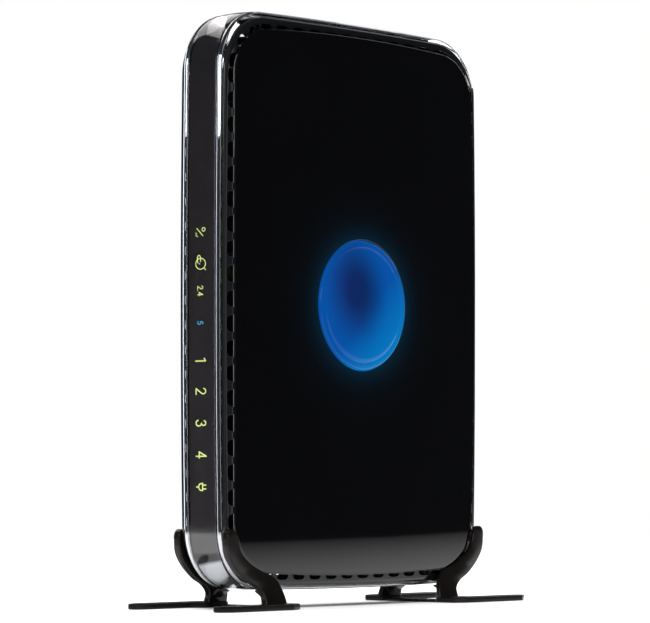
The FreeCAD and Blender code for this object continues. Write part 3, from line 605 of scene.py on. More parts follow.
# ---------------------------------------------------------------- meshes
@dataclass
class Solid:
    """Vertices and faces gathered from one or more surfaces, in millimetres."""

    points: list[np.ndarray] = field(default_factory=list)
    quads: list[np.ndarray] = field(default_factory=list)
    polygons: list[list[int]] = field(default_factory=list)
    count: int = 0

    def add(self, points: np.ndarray, quads: np.ndarray) -> "Solid":
        """Joins another surface's points and quads."""
        self.points.append(points.reshape(-1, 3))
        self.quads.append(quads + self.count)
        self.count += self.points[-1].shape[0]
        return self

    def add_grid(self, points: np.ndarray, close_rows: bool = False, close_columns: bool = False,
                 keep: Optional[np.ndarray] = None) -> "Solid":
        """Joins a grid of points.

        Args:
            points: an array of rows by columns by 3.
            close_rows: joins the last row to the first.
            close_columns: joins the last column to the first.
            keep: a mask of the cells to keep.

        Returns:
            This solid.
        """
        rows, columns = points.shape[:2]
        row = np.arange(rows if close_rows else rows - 1)
        column = np.arange(columns if close_columns else columns - 1)
        low, left = np.meshgrid(row, column, indexing="ij")
        high, right = (low + 1) % rows, (left + 1) % columns
        cells = np.stack([low * columns + left, low * columns + right,
                          high * columns + right, high * columns + left], axis=-1)
        if keep is not None:
            cells = cells[keep]
        return self.add(points, cells.reshape(-1, 4))

    def add_polygon(self, points: np.ndarray) -> "Solid":
        """Joins one flat face, its points in order."""
        self.points.append(points)
        self.polygons.append((np.arange(len(points)) + self.count).tolist())
        self.count += len(points)
        return self

    def add_bar(self, points: np.ndarray) -> "Solid":
        """Joins a closed section carried along a path, rows by places by 3, with flat ends."""
        self.add_grid(points, close_rows=True)
        return self.add_polygon(points[:, 0]).add_polygon(points[:, -1])

    def add_stack(self, points: np.ndarray) -> "Solid":
        """Joins closed rings, one to a row, with a flat face over the first and the last."""
        self.add_grid(points, close_columns=True)
        return self.add_polygon(points[0]).add_polygon(points[-1])

    def add_plate(self, top: np.ndarray, bottom: np.ndarray, keep: np.ndarray,
                  inner_wall: bool = True) -> "Solid":
        """Joins a ring-shaped plate with holes.

        A wall joins top and bottom wherever a kept cell meets a dropped one,
        found by comparing the mask with itself moved by one cell.

        Args:
            top: the upper grid, rows by closed columns by 3.
            bottom: the lower grid, of the same shape.
            keep: a mask of the cells that stay.
            inner_wall: whether the last row gets a wall.

        Returns:
            This solid.
        """
        self.add_grid(top, close_columns=True, keep=keep)
        self.add_grid(bottom, close_columns=True, keep=keep)
        rows, columns = top.shape[:2]
        index = np.arange(rows * columns).reshape(rows, columns)
        none = np.zeros((1, columns), bool)
        lines = np.concatenate([none, keep]) != np.concatenate([keep, none])
        lines[-1] &= inner_wall
        row, column = np.nonzero(lines)
        along = np.stack([index[row, column], index[row, (column + 1) % columns]], axis=1)
        row, column = np.nonzero(keep != np.roll(keep, 1, axis=1))
        inward = np.stack([index[row, column], index[row + 1, column]], axis=1)
        edges = np.concatenate([along, inward])
        walls = np.concatenate([edges, edges[:, ::-1] + rows * columns], axis=1)
        return self.add(np.concatenate([top.reshape(-1, 3), bottom.reshape(-1, 3)]), walls)

    def add_turned(self, profile: Any, place: Sequence[float], count: int,
                   close_rows: bool = True) -> "Solid":
        """Joins a profile of x and radius, turned about a line along x.

        Args:
            profile: the profile's points.
            place: the line's y and its height above the case's middle.
            count: steps round the line.
            close_rows: joins the profile's last point to its first.

        Returns:
            This solid.
        """
        x, radius = np.asarray(profile, float).T[:, :, None]
        turn = np.arange(count) * (2 * math.pi / count)
        points = ring_points(x, place[0] + radius * np.cos(turn), place[1] + radius * np.sin(turn))
        return self.add_grid(points, close_rows=close_rows, close_columns=True)

    def join(self, other: "Solid") -> None:
        """Takes in all of another solid."""
        self.quads += [quads + self.count for quads in other.quads]
        self.polygons += [[index + self.count for index in face] for face in other.polygons]
        self.points += other.points
        self.count += other.count

    def mirror(self, side: Side) -> None:
        """Mirrors the points in x for the left side."""
        self.points = [points * (side.value, 1.0, 1.0) for points in self.points]

    def flip(self, towards: int) -> None:
        """Mirrors the points in y for a negative direction."""
        self.points = [points * (1.0, towards, 1.0) for points in self.points]

    def object(self, name: str, finish: Finish, body: Body, smooth_angle: float = 35.0,
               bevel: float = 0.0) -> bpy.types.Object:
        """Makes the Blender object.

        Doubles are merged, so that seams and poles close, and the normals are
        turned outwards.

        Args:
            name: the piece's name.
            finish: its finish.
            body: the part it moves with.
            smooth_angle: edges sharper than this many degrees stay sharp.
            bevel: the width of broken edges in millimetres, or nothing.

        Returns:
            The new object, riding on its body.
        """
        mesh = bpy.data.meshes.new(name)
        points = np.concatenate(self.points) * MM
        faces = np.concatenate(self.quads).tolist() + self.polygons
        mesh.from_pydata(points.tolist(), [], faces)
        return dress_mesh(mesh, name, finish, body, smooth_angle, bevel)


def linked(name: str, data: bpy.types.ID) -> bpy.types.Object:
    """A new object of the scene, holding this data."""
    made = bpy.data.objects.new(name, data)
    bpy.context.scene.collection.objects.link(made)
    return made


def dress_mesh(mesh: bpy.types.Mesh, name: str, finish: Finish, body: Body,
               smooth_angle: float = 35.0, bevel: float = 0.0,
               flatten: bool = False) -> bpy.types.Object:
    """Cleans a mesh, shades it and links it as a riding piece.

    Args:
        mesh: the mesh, in metres, in place.
        name: the piece's name.
        finish: its finish.
        body: the part it moves with.
        smooth_angle: edges sharper than this many degrees stay sharp.
        bevel: the width of broken edges in millimetres, or nothing.
        flatten: joins triangles that lie in one plane first.

    Returns:
        The new object.
    """
    work = bmesh.new()
    work.from_mesh(mesh)
    bmesh.ops.remove_doubles(work, verts=work.verts, dist=2e-7)
    bmesh.ops.dissolve_degenerate(work, dist=1e-7, edges=work.edges)
    loose = [edge for edge in work.edges if not edge.link_faces]
    bmesh.ops.delete(work, geom=loose, context="EDGES")
    bmesh.ops.recalc_face_normals(work, faces=work.faces)
    if flatten:
        bmesh.ops.dissolve_limit(work, angle_limit=math.radians(1.0),
                                 verts=work.verts, edges=work.edges)
    work.to_mesh(mesh)
    work.free()
    mesh.shade_smooth()
    mesh.materials.clear()
    mesh.materials.append(finish.build())
    piece = linked(name, mesh)
    if bevel:
        softener = piece.modifiers.new("broken_edges", "BEVEL")
        softener.width = bevel * MM
        softener.segments = 2
        softener.limit_method = "ANGLE"
        softener.angle_limit = math.radians(smooth_angle)
        softener.use_clamp_overlap = False
        softener.harden_normals = True
    else:
        mesh.set_sharp_from_angle(angle=math.radians(smooth_angle))
    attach(piece, body.value)
    finish.slot
    log.info("%s: %d faces", name, len(mesh.polygons))
    return piece


# ---------------------------------------------------------------- vent slots
@dataclass(frozen=True)
class VentSlots:
    """The slots round a gloss panel: rounded towards the rim, wider towards the panel."""

    pitch: float = 9.41
    half: float = 2.8
    taper: float = 0.8
    inset: float = 1.75
    reach: float = 4.25
    nose: float = 1.3
    corner_turns: tuple[float, ...] = (15.0, 43.0, 70.0)

    def centres(self, outline: Outline) -> np.ndarray:
        """Places of the slot centres along an outline, in rising order.

        A slot on a long side lies at the angle height / radius on that side's
        arc; the corner slots lie at three fixed turns.
        """
        starts, arcs = outline.starts(), outline.arcs()
        column = (self.pitch * np.arange(-9, 10) + outline.drop) / outline.front_bow
        row = self.pitch * (np.arange(-6, 6) + 0.5) / outline.top_bow
        turn, half = np.radians(self.corner_turns), math.pi
        angles = {1: turn, 2: half / 2 - row, 3: half - turn, 4: half - column,
                  5: half + turn, 6: 1.5 * half + row, 7: 2 * half - turn}
        rows = [starts[arc] + (angle - arcs[arc, 3]) * arcs[arc, 2]
                for arc, angle in angles.items()]
        rows.append(np.mod(column * outline.front_bow, starts[-1]))
        return np.sort(np.concatenate(rows))

    def half_length(self, inset: np.ndarray) -> np.ndarray:
        """Half the slot's length at an inset: a taper less a quarter-round nose at the rim end."""
        deep = np.clip(inset - self.inset, 0.0, self.reach)
        short = np.maximum(self.nose - deep, 0.0)
        nose_loss = self.nose - np.sqrt(self.nose ** 2 - short ** 2)
        return self.half + self.taper * deep / self.reach - nose_loss

    def borders(self, outline: Outline, inset: np.ndarray,
                half: Optional[np.ndarray] = None) -> tuple[np.ndarray, np.ndarray]:
        """Where the slots begin and end along an outline.

        Args:
            outline: the outline that the places are measured on.
            inset: the insets of the rows, any one-dimensional array.
            half: the half-lengths there, where they aren't those of the insets.

        Returns:
            Begins and ends, each an array of insets by slots. A straight slot
            spans the angle whose sine is its half-length over the radius there.
        """
        centres, starts = self.centres(outline), outline.starts()
        radius = outline.arcs()[np.searchsorted(starts, centres, side="right") - 1, 2]
        half = self.half_length(inset) if half is None else half
        ratio = half[:, None] / (radius[None, :] - inset[:, None])
        spread = radius[None, :] * np.arcsin(ratio)
        return centres - spread, centres + spread

    def columns(self, outline: Outline, inset: np.ndarray, within: int = 7,
                between: int = 3) -> tuple[np.ndarray, np.ndarray]:
        """Grid columns that follow the slots' ends.

        Args:
            outline: the outline that the places are measured on.
            inset: the insets of the grid's rows.
            within: columns across a slot, its two ends counted.
            between: columns between two slots.

        Returns:
            The place of each grid point, and a mask of the cells in a slot.
        """
        begin, end = self.borders(outline, inset)
        following = np.concatenate([begin[:, 1:], begin[:, :1] + outline.starts()[-1]], axis=1)
        across = np.linspace(0.0, 1.0, within)
        land = np.linspace(0.0, 1.0, between + 2)[1:-1]
        parts = [begin[..., None] + (end - begin)[..., None] * across,
                 end[..., None] + (following - end)[..., None] * land]
        places = np.concatenate(parts, axis=2).reshape(len(inset), -1)
        cell = np.arange(within + between) < within - 1
        return places, np.tile(cell, begin.shape[1])

    def inside(self, outline: Outline, half: float, u: np.ndarray) -> np.ndarray:
        """Tells which places on an outline lie within a slot of a given half-length."""
        begin, end = self.borders(outline, np.zeros(1), np.array([half]))
        length = outline.starts()[-1]
        offset = np.mod(u[:, None] - begin + 1.0, length) - 1.0
        return ((offset > 0) & (offset < end - begin)).any(axis=1)

    def steps(self, outline: Outline, half: float, ramp: float = 0.06) -> np.ndarray:
        """Places just before and after every slot end, for a notch with nearly upright sides."""
        borders = self.borders(outline, np.zeros(1), np.array([half]))
        edges = np.concatenate([side[0] for side in borders])
        return np.mod(np.concatenate([edges - ramp, edges + ramp]), outline.starts()[-1])


CENTRE = 118.0
CASE = Outline(223.0, 153.0, 23.0, 2500.0, 4500.0)
SHELLS = {Side.RIGHT: Outline(218.7, 150.2, 23.5, 2500.0, 4500.0, 0.4),
          Side.LEFT: Outline(218.9, 151.2, 23.2, 2500.0, 4500.0, 0.2)}
PANEL = Outline(211.1, 142.6, 19.5, 900.0, 4500.0, 0.3)
SLOTS = VentSlots()


# A quarter turn in four equal steps, for rounded edges.
QUARTER = np.radians(np.linspace(0.0, 90.0, 5))


def ring_points(x: Any, y: np.ndarray, z: np.ndarray) -> np.ndarray:
    """Stacks x, y and z above the case's middle into points of the frame."""
    x, y, z = np.broadcast_arrays(np.asarray(x, float), y, z)
    return np.stack([x, y, z + CENTRE], axis=-1)


def rounded_loop(low: Sequence[float], high: Sequence[float], radius: float,
                 steps: int = 3) -> np.ndarray:
    """A closed rectangle with quarter-round corners, counter-clockwise.

    Each corner's points are its centre plus the radius times the unit vector
    at turns spread over a quarter.
    """
    turns = np.linspace(0.0, math.pi / 2, steps)
    quarter = np.stack([np.cos(turns), np.sin(turns)], axis=1) * radius
    (x0, y0), (x1, y1) = low, high
    corners = [((x1 - radius, y1 - radius), (1, 0, 0, 1)),
               ((x0 + radius, y1 - radius), (0, -1, 1, 0)),
               ((x0 + radius, y0 + radius), (-1, 0, 0, -1)),
               ((x1 - radius, y0 + radius), (0, 1, -1, 0))]
    return np.concatenate([np.array(centre) + quarter @ np.array(turn, float).reshape(2, 2).T
                           for centre, turn in corners])


def spline(points: Sequence[Sequence[float]], count: int) -> np.ndarray:
    """A smooth curve through points, evenly spaced along its chords.

    Between two points it is the cubic whose end slopes join each point's
    neighbours, weighed by the chord lengths.
    """
    knots = np.asarray(points, float)
    chord = np.concatenate([[0.0], np.cumsum(np.linalg.norm(np.diff(knots, axis=0), axis=1))])
    slope = np.gradient(knots, chord, axis=0)
    at = np.linspace(0.0, chord[-1], count)
    index = np.clip(np.searchsorted(chord, at, side="right") - 1, 0, len(chord) - 2)
    span = (chord[index + 1] - chord[index])[:, None]
    t = ((at - chord[index])[:, None]) / span
    return ((2 * t ** 3 - 3 * t ** 2 + 1) * knots[index]
            + (t ** 3 - 2 * t ** 2 + t) * span * slope[index]
            + (3 * t ** 2 - 2 * t ** 3) * knots[index + 1]
            + (t ** 3 - t ** 2) * span * slope[index + 1])


# ---------------------------------------------------------------- edge bands
Stroke = tuple[np.ndarray, bool]


def bend(middle: Sequence[float], reach: Sequence[float], start: float, end: float,
         count: int = 13) -> np.ndarray:
    """Part of an ellipse between two turns in degrees.

    It is the middle plus the reach times cosine and sine.
    """
    turn = np.radians(np.linspace(start, end, count))
    return np.array(middle) + np.stack([np.cos(turn), np.sin(turn)], axis=1) * np.array(reach)


def run(*points: Sequence[float]) -> np.ndarray:
    """A line through a few points."""
    return np.array(points, float)


class Sign(Enum):
    """The nine signs down the front, each drawn in a box one unit tall."""

    POWER = "power"
    NETWORK = "network"
    LOW_BAND = "2.4"
    HIGH_BAND = "5"
    PORT_1 = "1"
    PORT_2 = "2"
    PORT_3 = "3"
    PORT_4 = "4"
    PLUG = "plug"

    def strokes(self) -> list[Stroke]:
        """The sign's pen strokes: right and up, and whether a stroke is a closed ring."""
        two = [(np.concatenate([bend((0.27, 0.73), (0.25, 0.25), 170, -35),
                                run((0.02, 0.03))]), False),
               (run((0.02, 0.03), (0.56, 0.03)), False)]
        four = [(run((0.42, 0.0), (0.42, 0.98)), False), (run((0.42, 0.98), (0.0, 0.30)), False),
                (run((0.0, 0.30), (0.60, 0.30)), False)]
        five = [(run((0.50, 0.97), (0.16, 0.97)), False), (run((0.16, 0.97), (0.08, 0.56)), False),
                (bend((0.26, 0.31), (0.30, 0.30), 125, -150), False)]
        shift = np.array((1.10, 0.0))
        drawn: dict[str, list[Stroke]] = {
            "power": [(bend((0.16, 0.78), (0.13, 0.15), 0, 360, 21)[:-1], True),
                      (run((0.06, 0.12), (0.62, 0.72)), False),
                      (run((0.56, 0.0), (0.66, 0.20)), False),
                      (run((0.40, 0.0), (0.46, 0.12)), False)],
            "network": [(bend((0.46, 0.50), (0.40, 0.48), 0, 360, 33)[:-1], True),
                        (bend((0.14, 0.34), (0.30, 0.17), 60, 330, 21), False),
                        (run((0.46, 0.38), (0.47, 0.42)), False),
                        (run((0.80, 0.86), (0.92, 0.98)), False)],
            "1": [(run((0.30, 0.0), (0.30, 0.98)), False),
                  (run((0.30, 0.98), (0.06, 0.84)), False)],
            "2": two,
            "3": [(bend((0.26, 0.75), (0.22, 0.22), 165, -80), False),
                  (bend((0.26, 0.28), (0.27, 0.27), 85, -165), False)],
            "4": four,
            "5": five,
            "2.4": (two + [(run((0.82, 0.03), (0.85, 0.03)), False)]
                    + [(path + shift, ring) for path, ring in four]),
            "plug": [(run((0.16, 0.62), (0.16, 0.92)), False),
                     (run((0.44, 0.62), (0.44, 0.92)), False),
                     (run((0.02, 0.60), (0.58, 0.60)), False),
                     (np.concatenate([run((0.06, 0.58)),
                                      bend((0.30, 0.42), (0.24, 0.20), 180, 360),
                                      run((0.54, 0.58))]), False),
                     (run((0.30, 0.20), (0.30, 0.0)), False)],
        }
        return drawn[self.value]


@dataclass(frozen=True)
class SignSize:
    """How a sign is drawn; its share is the width of its unit box over the height."""

    tall: float = 5.2
    low: float = -3.55
    pen: float = 0.48
    share: float = 0.78
    raised: float = 0.0


NUMBER_SIZE = SignSize()
PLUG_SIZE = SignSize(share=1.0)
PICTURE_SIZE = SignSize(pen=0.32, share=1.0)
BAND_SIZE = SignSize(tall=2.8, low=-2.5, pen=0.30, raised=1.8)
SIGN_SIZES = {Sign.POWER: PICTURE_SIZE, Sign.NETWORK: PICTURE_SIZE, Sign.LOW_BAND: BAND_SIZE,
              Sign.HIGH_BAND: BAND_SIZE, Sign.PLUG: PLUG_SIZE}


@dataclass
class EdgeBands:
    """The clear band with its two ridges, the dark strip under it and the lit signs."""

    half_width: float = 9.85
    back: float = 2.64
    ridge_middle: float = 8.80
    ridge_crest: float = 0.35
    ridge_slope: float = 0.42
    shoulder: tuple[float, float] = (0.22, 0.80)
    ridge_inner: float = 0.70
    ridge_start: float = 7.72
    groove: float = 0.56
    crowning: float = 0.008
    window_rise: float = 93.0
    strip_half: float = 7.25
    strip_face: float = 2.78
    strip_back: float = 3.9
    sign_top: float = 143.6
    sign_pitch: float = 12.1
    print_face: float = 2.70
    print_back: float = 2.95

    def build(self) -> None:
        """Makes the four pieces."""
        ring = self.sweep(self.clear_profile(), 5.0, 0.7)
        clear = ring.object("clear_band", CLEAR, Body.CASE, 38.0)
        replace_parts(clear, "clear_wrap_band")
        section = rounded_loop((-self.strip_half, self.strip_face),
                               (self.strip_half, self.strip_back), 0.2)
        strip = self.sweep(section, 5.0, 0.9)
        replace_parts(strip.object("dark_strip", DARK_TRIM, Body.CASE), "dark_trim_band")
        self.signs()

    def clear_profile(self) -> np.ndarray:
        """The band's section as x and inset: two ridges, each a shoulder of part of an
        ellipse, a slope up to the crest and a quarter ellipse down to a thin groove. The
        face between them falls with the square of x."""
        bend_x, bend_in = self.shoulder
        turn = np.radians(np.linspace(0.0, 78.0, 8))
        shoulder = np.stack([self.half_width - bend_x * (1 - np.cos(turn)),
                             self.ridge_crest + self.ridge_slope
                             + bend_in * (1 - np.sin(turn))], axis=1)
        slope = shoulder[-1] + np.linspace(0.0, 1.0, 6)[1:, None] \
            * (np.array((self.ridge_middle, self.ridge_crest)) - shoulder[-1])
        outer = np.concatenate([shoulder, slope])
        turn = np.radians(np.linspace(0.0, 90.0, 9))
        reach = self.ridge_middle - self.ridge_start
        inner = np.stack([self.ridge_middle - reach * np.sin(turn[1:]),
                          self.ridge_crest + self.ridge_inner * (1 - np.cos(turn[1:]))], axis=1)
        x = np.array([7.5, 6.8, 6.0, 5.0, 4.0, 3.0, 2.0, 1.0])
        flat = np.concatenate([[(self.ridge_start - 0.1, self.groove)],
                               np.stack([x, self.crowning * x * x], axis=1)])
        half = np.concatenate([[(self.half_width, self.back)], outer, inner, flat])
        return np.concatenate([half, half[::-1] * (-1.0, 1.0)])

    def sweep(self, profile: np.ndarray, step: float, corner_step: float) -> Solid:
        """Carries a closed section of x and inset round the case, with a flat face at both ends.

        Each point lies on the outline inset by the section's second value, at
        the x of its first.
        """
        places = CASE.open_places(profile[:, 1], self.window_rise, step, corner_step)
        y, z = CASE.at(places, profile[:, 1:])
        return Solid().add_bar(ring_points(profile[:, :1], y, z))

    def signs(self) -> None:
        """Two pieces of lit strokes, lime and sky blue, both standing for the sign windows."""
        shapes = {LIME_PRINT: Solid(), SKY_PRINT: Solid()}
        for number, sign in enumerate(Sign):
            size = SIGN_SIZES.get(sign, NUMBER_SIZE)
            finish = SKY_PRINT if sign is Sign.HIGH_BAND else LIME_PRINT
            strokes = sign.strokes()
            middle = 0.5 * max(path[:, 0].max() for path, _ in strokes)
            wide = size.share * size.tall
            for path, ring in strokes:
                place = np.stack([size.low + path[:, 1] * size.tall,
                                  self.sign_top - CENTRE - number * self.sign_pitch + size.raised
                                  + (middle - path[:, 0]) * wide], axis=1)
                self.add_stroke(shapes[finish], place, size.pen, ring)
        for finish, name in ((LIME_PRINT, "signs_lime"), (SKY_PRINT, "sign_blue")):
            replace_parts(shapes[finish].object(name, finish, Body.CASE), "icon_windows")

    def add_stroke(self, solid: Solid, path: np.ndarray, width: float, ring: bool) -> None:
        """Adds one flat stroke with round ends, let into the strip's face.

        The stroke is the path plus and minus its normal times half the width;
        at an end the half width follows a half circle down to nothing.

        Args:
            solid: what the stroke is added to.
            path: the stroke's middle line as x and height above the case's middle.
            width: the stroke's width.
            ring: whether the path closes on itself.
        """
        if ring:
            along = np.roll(path, -1, axis=0) - np.roll(path, 1, axis=0)
            half = np.full(len(path), width / 2)
        else:
            turn = np.radians([0.0, 30.0, 60.0])
            first, last = path[0] - path[1], path[-1] - path[-2]
            first, last = first / np.linalg.norm(first), last / np.linalg.norm(last)
            cap = np.cos(turn)[:, None] * width / 2
            half = np.concatenate([np.sin(turn), np.ones(len(path)), np.sin(turn)[::-1]])
            half = half * width / 2
            path = np.concatenate([path[0] + first * cap, path, path[-1] + last * cap[::-1]])
            along = np.gradient(path, axis=0)
        along = along / np.linalg.norm(along, axis=1, keepdims=True)
        across = np.stack([-along[:, 1], along[:, 0]], axis=1) * half[:, None]
        rows = np.stack([path - across, path + across, path + across, path - across])
        inset = np.repeat([self.print_face, self.print_back], 2)[:, None]
        side_y = CASE.front_bow - CASE.depth / 2
        y = side_y - np.sqrt((CASE.front_bow - inset) ** 2 - rows[..., 1] ** 2)
        solid.add_grid(ring_points(rows[..., 0], y, rows[..., 1]),
                       close_rows=True, close_columns=ring)


# ---------------------------------------------------------------- side shells
@dataclass
class SideShell:
    """One black side shell: a slotted plate, a flange inside the bands, and screw bosses."""

    side: Side
    face: float = 11.1
    under: float = 9.9
    rim_rounds: dict = field(default_factory=lambda: {Side.RIGHT: 0.8, Side.LEFT: 0.35})
    hole: float = 28.5
    flange_outer: float = 4.1
    flange_inner: float = 5.7
    seam: float = 0.1
    slot_half: float = 3.6
    slot_floor: float = 8.3
    ramp_from: float = 0.9
    ramp_to: float = 3.72
    ramp_gap: float = 0.5
    ramp_fall: float = 0.8
    plate_rows: tuple[float, ...] = (1.3, 1.75, 1.9, 2.15, 2.55, 3.05, 3.72, 4.4, 5.2, 6.0,
                                     8.0, 11.0)
    level_from: float = 92.0
    level_over: float = 14.0
    widen_rows: tuple[float, ...] = (0.8, 1.75, 3.72)
    widen: float = 0.75
    band_rise: float = 93.0
    guide_half: dict = field(default_factory=lambda: {Side.RIGHT: 3.3, Side.LEFT: 6.6})
    guide_reach: tuple[float, float] = (-31.4, 77.0)
    overlap: float = 0.05
    nudge: float = 0.06
    round_steps: int = 24
    bosses: tuple[tuple[float, float], ...] = ((-50, -96), (-50, 96), (50, -96), (50, 96))
    posts: tuple[tuple[float, float], ...] = ((-58, -76), (-58, 76), (36, -76), (36, 76))

    def build(self) -> None:
        """Makes the shell as one piece."""
        solid = Solid()
        self.add_plate(solid)
        self.add_flange(solid)
        self.add_bosses(solid)
        solid.mirror(self.side)
        name = f"{self.side.name.lower()}_side_shell"
        piece = solid.object(f"{name}_dressed", BLACK_SHELL, Body.CASE, bevel=0.12)
        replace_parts(piece, name)

    def add_plate(self, solid: Solid) -> None:
        """A plate with a rounded rim, slots and a border that rises to the panel's edge.

        Its rows are insets of the shell's own outline, then straight lines from
        the last of them to the hole's circle, or to the middle where there is
        none. Along the top and bottom the border stays level and the slots'
        insets are widened instead.
        """
        outline, rim = SHELLS[self.side], self.rim_rounds[self.side]
        insets = np.concatenate([rim * (1 - np.cos(QUARTER)), self.plate_rows])
        height = np.concatenate([self.face - rim * (1 - np.sin(QUARTER)),
                                 np.full(len(self.plate_rows), self.face)])[:, None]
        places, slot = SLOTS.columns(outline, np.minimum(insets, SLOTS.inset + SLOTS.reach))
        _, rise = outline.at(places, 0.0)
        level = np.clip((np.abs(rise) - self.level_from) / self.level_over, 0.0, 1.0)
        wider = np.interp(insets, self.widen_rows, (0.0, self.widen, 0.0))
        inset = insets[:, None] + wider[:, None] * level
        y, z = outline.at(places, inset)
        height = height + self.ramp(y, z, inset) * (1.0 - level)
        hole = self.hole if self.side is Side.RIGHT else 0.0
        angle = np.arctan2(z[-1], y[-1])
        inward = np.linspace(0.0, 1.0, 6)[1:, None]
        y = np.concatenate([y, y[-1] + inward * (hole * np.cos(angle) - y[-1])])
        z = np.concatenate([z, z[-1] + inward * (hole * np.sin(angle) - z[-1])])
        height = np.concatenate([height, np.full((len(inward), y.shape[1]), self.face)])
        slot_end = SLOTS.inset + SLOTS.reach
        within = (insets[:-1] >= SLOTS.inset - 0.01) & (insets[1:] <= slot_end + 0.01)
        within = np.concatenate([within, np.zeros(len(inward), bool)])
        keep = ~(within[:, None] & slot[None, :])
        solid.add_plate(ring_points(height, y, z), ring_points(self.under, y, z), keep,
                        inner_wall=hole > 0)

    def ramp(self, y: np.ndarray, z: np.ndarray, inset: np.ndarray) -> np.ndarray:
        """How far the border rises to meet the panel's edge, and falls again under it.

        The rise is the panel's edge height times a smooth step from the ramp's
        start to its end. Past the end it falls back in a straight line.
        """
        high = GlossPanel(self.side).crown_at(y, z) - self.ramp_gap - self.face
        up = np.clip((inset - self.ramp_from) / (self.ramp_to - self.ramp_from), 0.0, 1.0)
        down = np.clip((inset - self.ramp_to) / self.ramp_fall, 0.0, 1.0)
        return np.maximum(high, 0.0) * (up * up * (3 - 2 * up)) * (1 - down)

    def add_flange(self, solid: Solid) -> None:
        """A wall inside the bands, notched under the slots and open for the light guide."""
        middle = 0.5 * (self.flange_outer + self.flange_inner)
        cut = CASE.open_places(np.array([middle]), self.band_rise, 8.0, 2.0)[0]
        front = 0.5 * CASE.starts()[-1] + np.array(self.guide_reach)
        places = np.concatenate([cut, SLOTS.steps(CASE, self.slot_half),
                                 front - self.nudge, front + self.nudge])
        places = np.unique(places[(places >= cut[0]) & (places <= cut[-1])])
        top = np.where(SLOTS.inside(CASE, self.slot_half, places),
                       self.slot_floor, self.under + self.overlap)
        low = np.where((places > front[0]) & (places < front[1]),
                       self.guide_half[self.side], self.seam)
        x = np.stack([low, top, top, low])
        inset = np.repeat([self.flange_outer, self.flange_inner], 2)[:, None]
        y, z = CASE.at(np.broadcast_to(places, x.shape), inset)
        solid.add_bar(ring_points(x, y, z))

    def add_bosses(self, solid: Solid) -> None:
        """Pillars for the case screws, and on the left the posts that carry the board."""
        high = self.under + self.overlap
        pillars = {
            Side.RIGHT: [(0.1, 1.3), (0.1, 3.2), (high, 3.2), (high, 0.0), (8.2, 0.0), (8.2, 1.3)],
            Side.LEFT: [(0.1, 1.7), (0.1, 3.2), (6.6, 3.2), (6.6, 4.2), (high, 4.2), (high, 3.0),
                        (8.6, 3.0), (8.6, 1.7)],
        }
        post = [(7.4, 0.9), (7.4, 3.0), (high, 3.0), (high, 0.0), (9.7, 0.0), (9.7, 0.9)]
        for place in self.bosses:
            solid.add_turned(pillars[self.side], place, self.round_steps)
        if self.side is Side.LEFT:
            for place in self.posts:
                solid.add_turned(post, place, self.round_steps)


